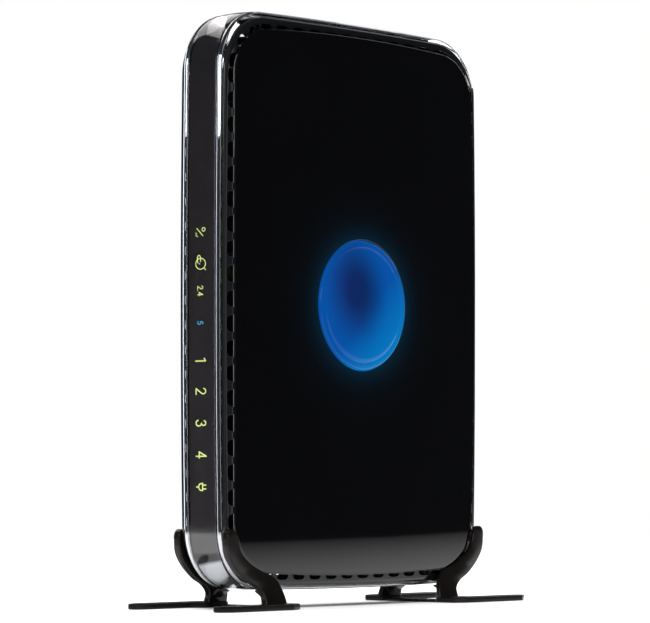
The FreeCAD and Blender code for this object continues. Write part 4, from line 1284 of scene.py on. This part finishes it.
# ---------------------------------------------------------------- gloss panels
@dataclass
class GlossPanel:
    """One raised gloss panel: a pillow-shaped crown on an upright edge, hollow behind."""

    side: Side
    crown: float = 15.3
    bow_across: float = 1326.0
    bow_along: float = 4682.0
    edge_round: float = 0.35
    wall: float = 1.7
    foot: float = 11.1
    notch_half: float = 3.3
    notch_gap: float = 0.05
    lip: float = 0.27
    lip_drop: float = 0.6
    short_from: float = 98.0
    short_part: float = 0.12
    hole: float = 25.7
    hole_round: float = 0.35
    crown_rows: tuple[float, ...] = (1.6, 2.4, 3.6, 5.5, 8.0, 11.0, 14.0)
    hollow_row: float = 9.0
    # The section of the painted highlight bead: drop under the crown, then inset.
    glint_section: tuple = ((0.62, -0.04), (0.30, -0.04), (0.30, 0.12), (0.62, 0.12))

    def build(self) -> None:
        """Makes the panel as one piece."""
        solid = Solid()
        rows = self.outer_rows() + self.inner_rows()
        solid.add_grid(np.stack(rows), close_rows=True, close_columns=True)
        solid.mirror(self.side)
        name = f"{self.side.name.lower()}_gloss_panel"
        finish = BLACK_GLOSS if self.side is Side.RIGHT else BACK_GLOSS
        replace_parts(solid.object(f"{name}_dressed", finish, Body.CASE, 40.0), name)
        # Beads painted pale along the notches, as highlights.
        self.lips().object(f"{name}_slot_painted_glints", SLOT_GLINT_PAINT, Body.CASE, 40.0)

    def lips(self) -> Solid:
        """A thin pale bead along the top of every notch, short on the panel's top edge: a painted
        highlight standing for the glint on the notch's edge.

        Each is a small square section carried from one end of its notch to
        the other, between two heights under the crown and two insets.
        """
        begin, end = SLOTS.borders(PANEL, np.zeros(1), np.array([self.notch_half]))
        _, rise = PANEL.at(begin[0], 0.0)
        part = np.where(rise > self.short_from, self.short_part, 1.0)
        share = np.linspace(0.0, 1.0, 9)
        places = begin[0][:, None] + (part * (end - begin)[0])[:, None] * share
        solid = Solid()
        for u in places:
            rows = []
            for drop, inset in self.glint_section:
                y, z = PANEL.at(u, inset)
                rows.append(ring_points(self.crown_at(y, z) - drop, y, z))
            solid.add_bar(np.stack(rows))
        solid.mirror(self.side)
        return solid

    def crown_at(self, y: np.ndarray, z: np.ndarray) -> np.ndarray:
        """The crown's x: a circle of the across bow, swept round a far axis by the along bow."""
        ring = self.bow_along - self.bow_across
        across = np.sqrt(self.bow_across ** 2 - y ** 2)
        return self.crown - self.bow_along + np.sqrt((ring + across) ** 2 - z ** 2)

    def places(self) -> np.ndarray:
        """Places round the panel's outline, with a pair at each side of every notch."""
        notches = SLOTS.steps(PANEL, self.notch_half)
        return np.unique(np.concatenate([PANEL.stations(1.6, 0.6), notches]))

    def base(self, u: np.ndarray, drop: float = 0.0) -> np.ndarray:
        """The x of the lower edge: at a slot, the rounded edge's less a gap and a drop."""
        y, z = PANEL.at(u, 0.0)
        high = self.crown_at(y, z) - self.edge_round - self.notch_gap - drop
        return np.where(SLOTS.inside(PANEL, self.notch_half, u), high, self.foot)

    def outer_rows(self) -> list[np.ndarray]:
        """From the lower edge up the side, over the rounded edge and across the crown to the hole.

        On the rounded edge the inset is the radius less its cosine part and
        the drop from the crown is the radius less its sine part.
        """
        u, rows = self.places(), []
        y, z = PANEL.at(u, 0.0)
        low, high = self.base(u), self.crown_at(y, z) - self.edge_round
        rows += [ring_points(low + (high - low) * part, y, z) for part in (0.0, 0.5)]
        for turn in np.radians(np.linspace(0.0, 90.0, 7)):
            y, z = PANEL.at(u, self.edge_round * (1 - math.cos(turn)))
            drop = self.edge_round * (1 - math.sin(turn))
            rows.append(ring_points(self.crown_at(y, z) - drop, y, z))
        for inset in self.crown_rows:
            y, z = PANEL.at(u, inset)
            rows.append(ring_points(self.crown_at(y, z), y, z))
        angle = np.arctan2(z, y)
        hole = self.hole + self.hole_round if self.side is Side.RIGHT else 0.0
        rows += self.inward(y, z, hole, np.linspace(0.0, 1.0, 19)[1:], 0.0)
        if self.side is Side.RIGHT:
            for turn in np.radians((30.0, 60.0, 90.0)):
                radius = self.hole + self.hole_round * (1 - math.sin(turn))
                y, z = radius * np.cos(angle), radius * np.sin(angle)
                drop = self.hole_round * (1 - math.cos(turn))
                rows.append(ring_points(self.crown_at(y, z) - drop, y, z))
        return rows

    def inner_rows(self) -> list[np.ndarray]:
        """Back across the hollow side of the crown and down inside the side wall."""
        u = self.places()
        y, z = PANEL.at(u, self.crown_rows[-1])
        hole = self.hole if self.side is Side.RIGHT else 0.0
        rows = self.inward(y, z, hole, np.linspace(1.0, 0.0, 6), self.wall)
        for inset in (self.hollow_row, self.wall):
            y, z = PANEL.at(u, inset)
            rows.append(ring_points(self.crown_at(y, z) - self.wall, y, z))
        under = self.base(u, self.lip_drop)
        rows.append(ring_points(under, y, z))
        rows.append(ring_points(under, *PANEL.at(u, self.lip)))
        return rows

    def inward(self, y: np.ndarray, z: np.ndarray, hole: float, parts: np.ndarray,
               drop: float) -> list[np.ndarray]:
        """Rows on straight lines from a ring to the hole's circle, or to the middle.

        Args:
            y: the ring's y.
            z: the ring's height above the case's middle.
            hole: the circle's radius.
            parts: how far along each line a row lies.
            drop: how far under the crown.

        Returns:
            One array of points for each part.
        """
        angle = np.arctan2(z, y)
        rows = []
        for part in parts:
            row_y = y + part * (hole * np.cos(angle) - y)
            row_z = z + part * (hole * np.sin(angle) - z)
            rows.append(ring_points(self.crown_at(row_y, row_z) - drop, row_y, row_z))
        return rows


# ---------------------------------------------------------------- round button
@dataclass
class DomeButton:
    """The lit round button: a shallow cap with a fine ring groove, a flange, a stem and pins."""

    radius: float = 25.2
    crown: float = 17.7
    rim: float = 15.7
    groove: float = 22.6
    groove_half: float = 0.5
    groove_depth: float = 0.34
    rim_round: float = 0.6
    flange: float = 26.9
    hollow: float = 23.0
    stem: float = 3.0
    pin_circle: float = 17.0
    pin: float = 1.5
    pin_end: float = 2.5
    thickness: float = 2.2
    flange_top: float = 12.8
    flange_under: float = 11.4
    stem_end: float = -0.2
    chamfer: float = 0.4

    def cap(self, radius: np.ndarray) -> np.ndarray:
        """The cap's x at a radius: the sphere that falls from crown to rim, less the groove.

        The groove is a cosine dip one wide.
        """
        drop = self.crown - self.rim
        ball = (self.radius ** 2 + drop ** 2) / (2 * drop)
        away = np.clip(np.abs(radius - self.groove) / self.groove_half, 0.0, 1.0)
        return self.crown - ball + np.sqrt(ball ** 2 - radius ** 2) \
            - self.groove_depth * 0.5 * (1 + np.cos(math.pi * away))

    def build(self) -> None:
        """Makes the button as one piece."""
        inner = np.linspace(0.0, self.groove - self.groove_half, 16)
        dip = self.groove + self.groove_half * np.linspace(-0.75, 1.0, 8)
        outer = np.array([23.6, 24.2, self.radius - self.rim_round])
        radius = np.concatenate([inner, dip, outer])
        edge = self.cap(np.array([self.radius - self.rim_round]))[0]
        turn = QUARTER[1:]
        rim = np.stack([edge - self.rim_round * (1 - np.cos(turn)),
                        self.radius - self.rim_round * (1 - np.sin(turn))], axis=1)
        skin = self.rim - self.thickness
        rest = [(self.flange_top, self.radius), (self.flange_top, self.flange),
                (self.flange_under, self.flange), (self.flange_under, self.hollow),
                (skin, self.hollow), (skin, self.stem), (self.stem_end + self.chamfer, self.stem),
                (self.stem_end, self.stem - self.chamfer), (self.stem_end, 0.0)]
        profile = np.concatenate([np.stack([self.cap(radius), radius], axis=1), rim, rest])
        solid = Solid().add_turned(profile, (0.0, 0.0), 128, close_rows=False)
        for turn in (math.pi / 2, math.pi * 7 / 6, math.pi * 11 / 6):
            place = (self.pin_circle * math.cos(turn), self.pin_circle * math.sin(turn))
            solid.add_turned([(skin + 0.3, 0.0), (skin + 0.3, self.pin),
                              (self.pin_end + self.chamfer, self.pin),
                              (self.pin_end, self.pin - self.chamfer), (self.pin_end, 0.0)],
                             place, 20, close_rows=False)
        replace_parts(solid.object("dome_button_dressed", BLUE_CAP, Body.DOME, 38.0), "dome_button")


# ---------------------------------------------------------------- feet
@dataclass
class Foot:
    """A pair of S-shaped legs with flat toes, tied by a thin bridge under the case."""

    towards: int
    outer: tuple = ((76.2, 27.6), (75.8, 22.0), (72.0, 16.2), (66.2, 11.6), (60.0, 8.4),
                    (57.2, 5.6), (57.2, 2.2))
    inner: tuple = ((70.4, 28.4), (68.2, 22.0), (62.2, 17.2), (55.8, 14.4), (49.6, 12.0),
                    (47.4, 9.0), (46.0, 5.4), (45.6, 2.2))
    tip: tuple[float, float] = (73.9, 30.6)
    pad: tuple = ((14.0, 45.4), (23.6, 45.4), (26.4, 52.0), (27.0, 86.0), (24.0, 91.0),
                  (20.8, 91.0), (19.4, 86.0), (18.6, 62.0), (14.0, 57.6))
    grip: float = 12.3
    blade: float = 2.1
    lean: float = 1.1
    plate: float = 2.3
    edge: float = 0.55
    base_edge: float = 0.3
    pad_corner: float = 1.4
    splay_heights: tuple[float, ...] = (0.0, 8.0, 14.0)
    splay_out: tuple[float, ...] = (3.2, 1.0, 0.0)
    ledge: tuple[float, float] = (50.0, 56.0)
    ledge_inner: float = 9.4
    ledge_reach: float = 1.6
    ledge_thin: float = 0.5
    ledge_low: float = 4.0
    seat_gap: float = 0.02
    bridge: tuple[float, float] = (46.6, 53.0)
    bridge_half: float = 15.0
    bridge_lower: float = 1.1
    bridge_round: float = 0.3

    def build(self) -> None:
        """Makes the two legs and the bridge as one piece."""
        solid = Solid()
        for side in Side:
            leg = Solid()
            self.add_blade(leg)
            self.add_toe(leg)
            self.add_ledge(leg)
            leg.mirror(side)
            solid.join(leg)
        self.add_bridge(solid)
        solid.flip(self.towards)
        name = "front_foot" if self.towards < 0 else "rear_foot"
        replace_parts(solid.object(f"{name}_dressed", FOOT_BLACK, Body.CASE, 38.0), name)

    def splay(self, height: np.ndarray) -> np.ndarray:
        """How far from the middle the inner face stands: it bends outwards near the floor."""
        out = [self.grip + more for more in self.splay_out]
        return np.interp(height, self.splay_heights, out)

    def sides(self, count: int = 30) -> tuple[np.ndarray, np.ndarray]:
        """The leg's two edge lines, from the pad up to the tip where they meet.

        The tip is a circle through both line ends and the highest point: each
        edge follows it from its own end.
        """
        inner, outer = spline(self.inner[::-1], count), spline(self.outer[::-1], count)
        first, top, last = np.array(self.inner[0]), np.array(self.tip), np.array(self.outer[0])
        rise = (top - first)[:, None], (last - first)[:, None]
        grid = 2.0 * np.concatenate(rise, axis=1).T
        squares = np.array([top @ top - first @ first, last @ last - first @ first])
        middle = np.linalg.solve(grid, squares)
        turn = [math.atan2(point[1] - middle[1], point[0] - middle[0])
                for point in (first, top, last)]
        radius = float(np.linalg.norm(top - middle))
        climb = np.sin(np.linspace(0.0, math.pi / 2, 8))[1:, None]

        def follow(start: float, end: float) -> np.ndarray:
            """Points on the tip's circle between two turns."""
            at = start + climb * (end - start)
            return middle + radius * np.concatenate([np.cos(at), np.sin(at)], axis=1)

        return (np.concatenate([inner, follow(turn[0], turn[1])]),
                np.concatenate([outer, follow(turn[2], turn[1])]))

    def add_blade(self, solid: Solid) -> None:
        """The leg: a rounded bar section carried between the two edge lines.

        A section point lies between the inner and the outer line by its first
        share, and between the leg's inner and outer face by its second. The
        inner face leans in towards the outer line, where the leg is thicker.
        """
        inner, outer = self.sides()
        width = np.linalg.norm(outer - inner, axis=1)
        turns = np.radians(np.concatenate([np.linspace(start, start + 90, 5)
                                           for start in (0, 90, 180, 270)]))
        corner = np.repeat([(1, 1), (0, 1), (0, 0), (1, 0)], 5, axis=0)
        edge = np.minimum(self.edge, 0.5 * width)[:, None]
        across = corner[:, 0] * (width[:, None] - 2 * edge) + edge + edge * np.cos(turns)
        share = across / np.maximum(width[:, None], 1e-6)
        through = (corner[:, 1] * (self.blade - 2 * self.edge)
                   + self.edge + self.edge * np.sin(turns))
        middle = inner[:, None, :] + share[..., None] * (outer - inner)[:, None, :]
        x = self.splay(middle[..., 1]) + through - self.lean * share * (1 - through / self.blade)
        points = np.stack([x, middle[..., 0], middle[..., 1]], axis=-1)
        solid.add_stack(points)

    def add_toe(self, solid: Solid) -> None:
        """The flat toe: its outline with rounded corners, and a quarter-round top edge."""
        outline = self.rounded(np.array(self.pad), self.pad_corner)
        inset = np.concatenate([[self.edge, 0.0], self.edge * (1 - np.cos(QUARTER))])
        height = np.concatenate([[0.0, self.base_edge],
                                 self.plate - self.edge * (1 - np.sin(QUARTER))])
        normal = self.outward(outline)
        rows = outline[None] - inset[:, None, None] * normal[None]
        heights = np.broadcast_to(height[:, None, None], rows.shape[:2] + (1,))
        points = np.concatenate([rows, heights], axis=2)
        solid.add_stack(points)

    @staticmethod
    def outward(outline: np.ndarray) -> np.ndarray:
        """Unit normals of a clockwise or counter-clockwise outline, away from its inside."""
        along = np.roll(outline, -1, axis=0) - np.roll(outline, 1, axis=0)
        along = along / np.linalg.norm(along, axis=1, keepdims=True)
        y, z = outline.T
        area = np.sum(y * np.roll(z, -1) - z * np.roll(y, -1))
        return np.stack([along[:, 1], -along[:, 0]], axis=1) * np.sign(area)

    @staticmethod
    def rounded(points: np.ndarray, radius: float, steps: int = 6) -> np.ndarray:
        """An outline whose corners are replaced by parabolas tangent to both sides.

        Each begins and ends as far from the corner as a circle of the radius
        would, and is weighed between the corner and those two points.
        """
        before, after = np.roll(points, 1, axis=0) - points, np.roll(points, -1, axis=0) - points
        before = before / np.linalg.norm(before, axis=1, keepdims=True)
        after = after / np.linalg.norm(after, axis=1, keepdims=True)
        half = 0.5 * np.arccos(np.clip(np.sum(before * after, axis=1), -1, 1))
        reach = np.minimum(radius / np.tan(half), 1.9)[:, None, None]
        share = np.linspace(0.0, 1.0, steps)[None, :, None]
        corner = points[:, None] + reach * ((1 - share) ** 2 * before[:, None]
                                            + share ** 2 * after[:, None])
        return corner.reshape(-1, 2)

    def add_ledge(self, solid: Solid) -> None:
        """The seat under the case's bottom edge: a wedge, hollowed to the case's own curve."""
        across = np.linspace(*self.ledge, 7)
        corner_y, corner_z = CASE.corner_centre()
        angle_z = CENTRE - np.sqrt(CASE.corner ** 2 - np.maximum(across - corner_y, 0) ** 2)
        bottom = angle_z - corner_z
        flat = CENTRE - CASE.height / 2 + across ** 2 / (2 * CASE.top_bow)
        top = np.where(across < corner_y, flat, bottom) - self.seat_gap
        inner, outer = self.ledge_inner, self.grip + self.ledge_reach
        rows = [(inner, top - self.ledge_thin), (inner, top), (outer, top),
                (outer, np.full_like(across, self.ledge_low))]
        points = np.stack([np.stack([np.full_like(across, x), across, z], axis=-1)
                           for x, z in rows])
        solid.add_bar(points)

    def add_bridge(self, solid: Solid) -> None:
        """A thin strap on the floor between the two legs."""
        near, far = self.bridge
        high = self.plate - self.bridge_lower
        section = rounded_loop((near, 0.0), (far, high), self.bridge_round)
        x = np.linspace(-self.bridge_half, self.bridge_half, 5)
        x, y, z = np.broadcast_arrays(x[:, None], section[:, 0], section[:, 1])
        solid.add_stack(np.stack([x, y, z], axis=-1))


# ---------------------------------------------------------------- softened copies
# The width of the broken edges, in millimetres, of each node that is copied.
SOFTENED: dict[str, float] = {
    "rear_connector_panel": 0.25, "lan_jack_block": 0.25, "wan_jack": 0.25,
    "usb_socket_shell": 0.10, "usb_socket_tongue": 0.15, "power_inlet": 0.30, "power_button": 0.35,
    "processor_chip": 0.15, "memory_chips": 0.12, "flash_chip": 0.12, "ethernet_switch_chip": 0.12,
    "lan_transformers": 0.25, "inductors": 0.6, "crystals": 0.8, "processor_heat_sink": 0.15,
    "radio_shield_low_band": 0.2, "radio_shield_high_band": 0.2, "power_switch": 0.2,
    "reset_switch": 0.2, "dome_switch": 0.2, "dome_carrier": 0.25, "main_circuit_board": 0.08,
    "light_guide_bar": 0.15,
}
SOFTENED_ON = {"power_button": Body.POWER}


def softened_copy(name: str, body: Body, width: float) -> bpy.types.Object:
    """Stands in for a carried-over solid with a merged copy whose edges are broken.

    Args:
        name: the node.
        body: the part it moves with.
        width: the width of the broken edges, in millimetres.

    Returns:
        The copy.
    """
    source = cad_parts[name].data
    corners = np.empty(len(source.vertices) * 3)
    source.vertices.foreach_get("co", corners)
    order = np.empty(len(source.loops), int)
    source.loops.foreach_get("vertex_index", order)
    mesh = bpy.data.meshes.new(f"{name}_dressed")
    mesh.from_pydata(corners.reshape(-1, 3).tolist(), [], order.reshape(-1, 3).tolist())
    piece = dress_mesh(mesh, f"{name}_dressed", NODE_FINISH[name], body, bevel=width, flatten=True)
    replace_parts(piece, name)
    return piece


# ---------------------------------------------------------------- studio
@dataclass
class Studio:
    """Pale floor, soft lights and the camera."""

    camera_place: tuple[float, float, float] = (869.0, -972.9, 48.51)
    camera_turn: float = 41.96
    focal_px: float = 3290.6
    image: tuple[float, float] = (650.0, 623.0)
    principal: tuple[float, float] = (323.06, 482.32)
    sensor: float = 36.0
    floor_near: tuple[float, float] = (-1100.0, -560.0)
    floor_far: tuple[float, float] = (425.0, 1300.0)
    # Painted shade: across each pair of ends the floor darkens from pale to near black.
    painted_shade_right: tuple[float, float] = (165.0, 460.0)
    painted_shade_front: tuple[float, float] = (-235.0, -560.0)
    dim_world: Colour = (0.034, 0.036, 0.041)

    def build(self) -> None:
        """Makes the floor, the lights, the backdrop and the camera."""
        self.floor()
        self.backdrop()
        self.lights()
        self.camera()
        bpy.context.scene.view_settings.view_transform = "Standard"

    def floor(self) -> None:
        """One flat sheet, wide behind the object and short on its right, with painted shade that
        darkens it towards its right and front ends.
        """
        (x0, y0), (x1, y1) = self.floor_near, self.floor_far
        mesh = bpy.data.meshes.new("floor")
        corners = np.array([(x0, y0, 0), (x1, y0, 0), (x1, y1, 0), (x0, y1, 0)], float) * MM
        mesh.from_pydata(corners.tolist(), [], [(0, 1, 2, 3)])
        material = bpy.data.materials.new("floor_white")
        tree = Tree(material)
        cloud = tree.noise(tree.place(), 0.004, 2.0)
        x, y, _ = tree.axes(tree.place())
        right, front = self.fade(x, self.painted_shade_right), self.fade(y, self.painted_shade_front)
        pale = tree.mix(cloud, (0.86, 0.86, 0.86), (0.88, 0.88, 0.88))
        # Painted shade: the floor darkens towards its right and front ends.
        shade = tree.mix(right.math("MAXIMUM", front), pale, (0.03, 0.03, 0.03))
        tree.surface({"Base Color": shade, "Roughness": 0.9, "Specular IOR Level": 0.1})
        mesh.materials.append(material)
        floor = linked("floor", mesh)

    @staticmethod
    def fade(value: Sock, ends: tuple[float, float]) -> Sock:
        """Runs from 0 at the first end to 1 at the second."""
        return ((value - ends[0]) * (1.0 / (ends[1] - ends[0]))).clamped()

    def backdrop(self) -> None:
        """A white world for the camera that lights the object only dimly."""
        world = bpy.data.worlds.new("studio")
        bpy.context.scene.world = world
        world.use_nodes = True
        nodes, links = world.node_tree.nodes, world.node_tree.links
        nodes.clear()
        seen = nodes.new("ShaderNodeLightPath")
        shade = nodes.new("ShaderNodeMix")
        shade.data_type = "RGBA"
        shade.inputs[MIX_FIRST].default_value = (*self.dim_world, 1.0)
        shade.inputs[MIX_SECOND].default_value = (1.0, 1.0, 1.0, 1.0)
        light = nodes.new("ShaderNodeBackground")
        out = nodes.new("ShaderNodeOutputWorld")
        links.new(seen.outputs["Is Camera Ray"], shade.inputs[0])
        links.new(shade.outputs[MIX_RESULT], light.inputs["Color"])
        links.new(light.outputs[0], out.inputs["Surface"])

    def lights(self) -> None:
        """A broad sky light, soft boxes high on the left and behind, and a weak fill."""
        sky = bpy.data.lights.new("sky", "SUN")
        sky.energy, sky.angle = 5.0, math.radians(80.0)
        lamp = linked("sky", sky)
        lamp.visible_glossy = lamp.visible_transmission = False
        self.soft_box("left_high_box", (-890, 260, 1000), (0, 0, 200), (940, 560), 3.4,
                      (1.0, 0.96, 0.93))
        self.soft_box("back_left_sheet", (-1340, 1490, 760), (0, 0, 200), (1700, 720), 1.2)
        self.soft_box("back_high_sheet", (-306, 1142, 1070), (0, 0, 200), (900, 500), 1.6)
        self.soft_box("left_sheet", (-1500, -40, 230), (0, 0, 150), (1500, 900), 8.5,
                      (0.88, 0.92, 1.0))
        self.soft_box("back_sheet", (-130, 1500, 740), (0, 0, 215), (900, 500), 4.2)
        self.soft_box("front_fill", (420, -1500, 620), (0, 0, 110), (500, 500), 6.0)
        self.soft_box("right_strip", (1300, 0, 330), (0, 0, 130), (480, 1100), 1.2)

    @staticmethod
    def soft_box(name: str, place: Sequence[float], aim: Sequence[float], room: Sequence[float],
                 watts: float, tint: Colour = (1.0, 1.0, 1.0)) -> None:
        """One rectangular light.

        Args:
            name: the light's name.
            place: its middle, in millimetres.
            aim: the point it faces.
            room: its width and height.
            watts: its power.
            tint: its colour.
        """
        light = bpy.data.lights.new(name, "AREA")
        light.shape = "RECTANGLE"
        light.size, light.size_y = (length * MM for length in room)
        light.energy, light.color = watts, tint
        lamp = linked(name, light)
        start, end = np.array(place, float), np.array(aim, float)
        away = (start - end) / np.linalg.norm(start - end)
        side = np.cross((0.0, 0.0, 1.0), away)
        side = side / np.linalg.norm(side)
        up = np.cross(away, side)
        matrix = np.eye(4)
        matrix[:3, 0], matrix[:3, 1], matrix[:3, 2], matrix[:3, 3] = side, up, away, start * MM
        lamp.matrix_world = matrix.T.tolist()
        lamp.visible_camera = False

    def camera(self) -> None:
        """A level camera; its shift frames the object as the photograph does."""
        width, height = self.image
        data = bpy.data.cameras.new("camera")
        data.sensor_width = self.sensor
        data.lens = self.focal_px / width * self.sensor
        data.shift_x = (width / 2 - self.principal[0]) / width
        data.shift_y = (self.principal[1] - height / 2) / width
        data.clip_start, data.clip_end = 0.05, 20.0
        camera = linked("camera", data)
        camera.location = [length * MM for length in self.camera_place]
        camera.rotation_euler = (math.pi / 2, 0.0, math.radians(self.camera_turn))
        bpy.context.scene.camera = camera


# ---------------------------------------------------------------- carried-over nodes
FINISHED: dict[Finish, tuple[str, ...]] = {
    CLEAR: ("clear_wrap_band",),
    DARK_TRIM: ("dark_trim_band",),
    LIME_PRINT: ("icon_windows",),
    GUIDE: ("light_guide_bar",),
    BLACK_SHELL: ("right_side_shell", "left_side_shell", "rear_connector_panel"),
    BLACK_GLOSS: ("right_gloss_panel",),
    BACK_GLOSS: ("left_gloss_panel",),
    BLUE_CAP: ("dome_button",),
    WHITE_PLASTIC: ("dome_carrier",),
    DIFFUSER: ("dome_light_ring",),
    BOARD_GREEN: ("dome_lamp_board", "main_circuit_board"),
    BLUE_LAMP: ("dome_lamps",),
    SPRING_STEEL: ("dome_return_spring",),
    COMPONENT: ("dome_switch", "processor_chip", "memory_chips", "flash_chip",
                "ethernet_switch_chip", "lan_transformers", "radio_chip_low_band",
                "radio_chip_high_band", "power_switch", "reset_switch"),
    FERRITE: ("inductors",),
    CAN_METAL: ("crystals", "radio_shield_low_band", "radio_shield_high_band", "capacitors",
                "antenna_low_1", "antenna_low_2", "antenna_high_1", "antenna_high_2",
                "usb_socket_shell", "power_inlet_pin"),
    SINK_METAL: ("processor_heat_sink",),
    INDICATOR: ("indicator_lights",),
    JACK_BLACK: ("lan_jack_block", "usb_socket_tongue", "power_inlet"),
    JACK_YELLOW: ("wan_jack",),
    GOLD: ("lan_contacts", "wan_contacts"),
    BUTTON_GREY: ("power_button",),
    BUTTON_RED: ("reset_button",),
    SCREW_STEEL: ("shell_screws", "board_screws"),
    FOOT_BLACK: ("front_foot", "rear_foot"),
}
NODE_FINISH = {name: finish for finish, names in FINISHED.items() for name in names}


def dress_nodes() -> None:
    """Gives every carried-over node its finish."""
    for name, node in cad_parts.items():
        node.data.materials.clear()
        node.data.materials.append(NODE_FINISH[name].build())


def main() -> None:
    """Builds the looks in order."""
    logging.basicConfig(level=logging.INFO, format="%(name)s: %(message)s")
    dress_nodes()
    EdgeBands().build()
    for side in Side:
        SideShell(side).build()
        GlossPanel(side).build()
    DomeButton().build()
    for towards in (-1, 1):
        Foot(towards).build()
    for name, width in SOFTENED.items():
        softened_copy(name, SOFTENED_ON.get(name, Body.CASE), width)
    Studio().build()


if __name__ == "__main__":
    main()
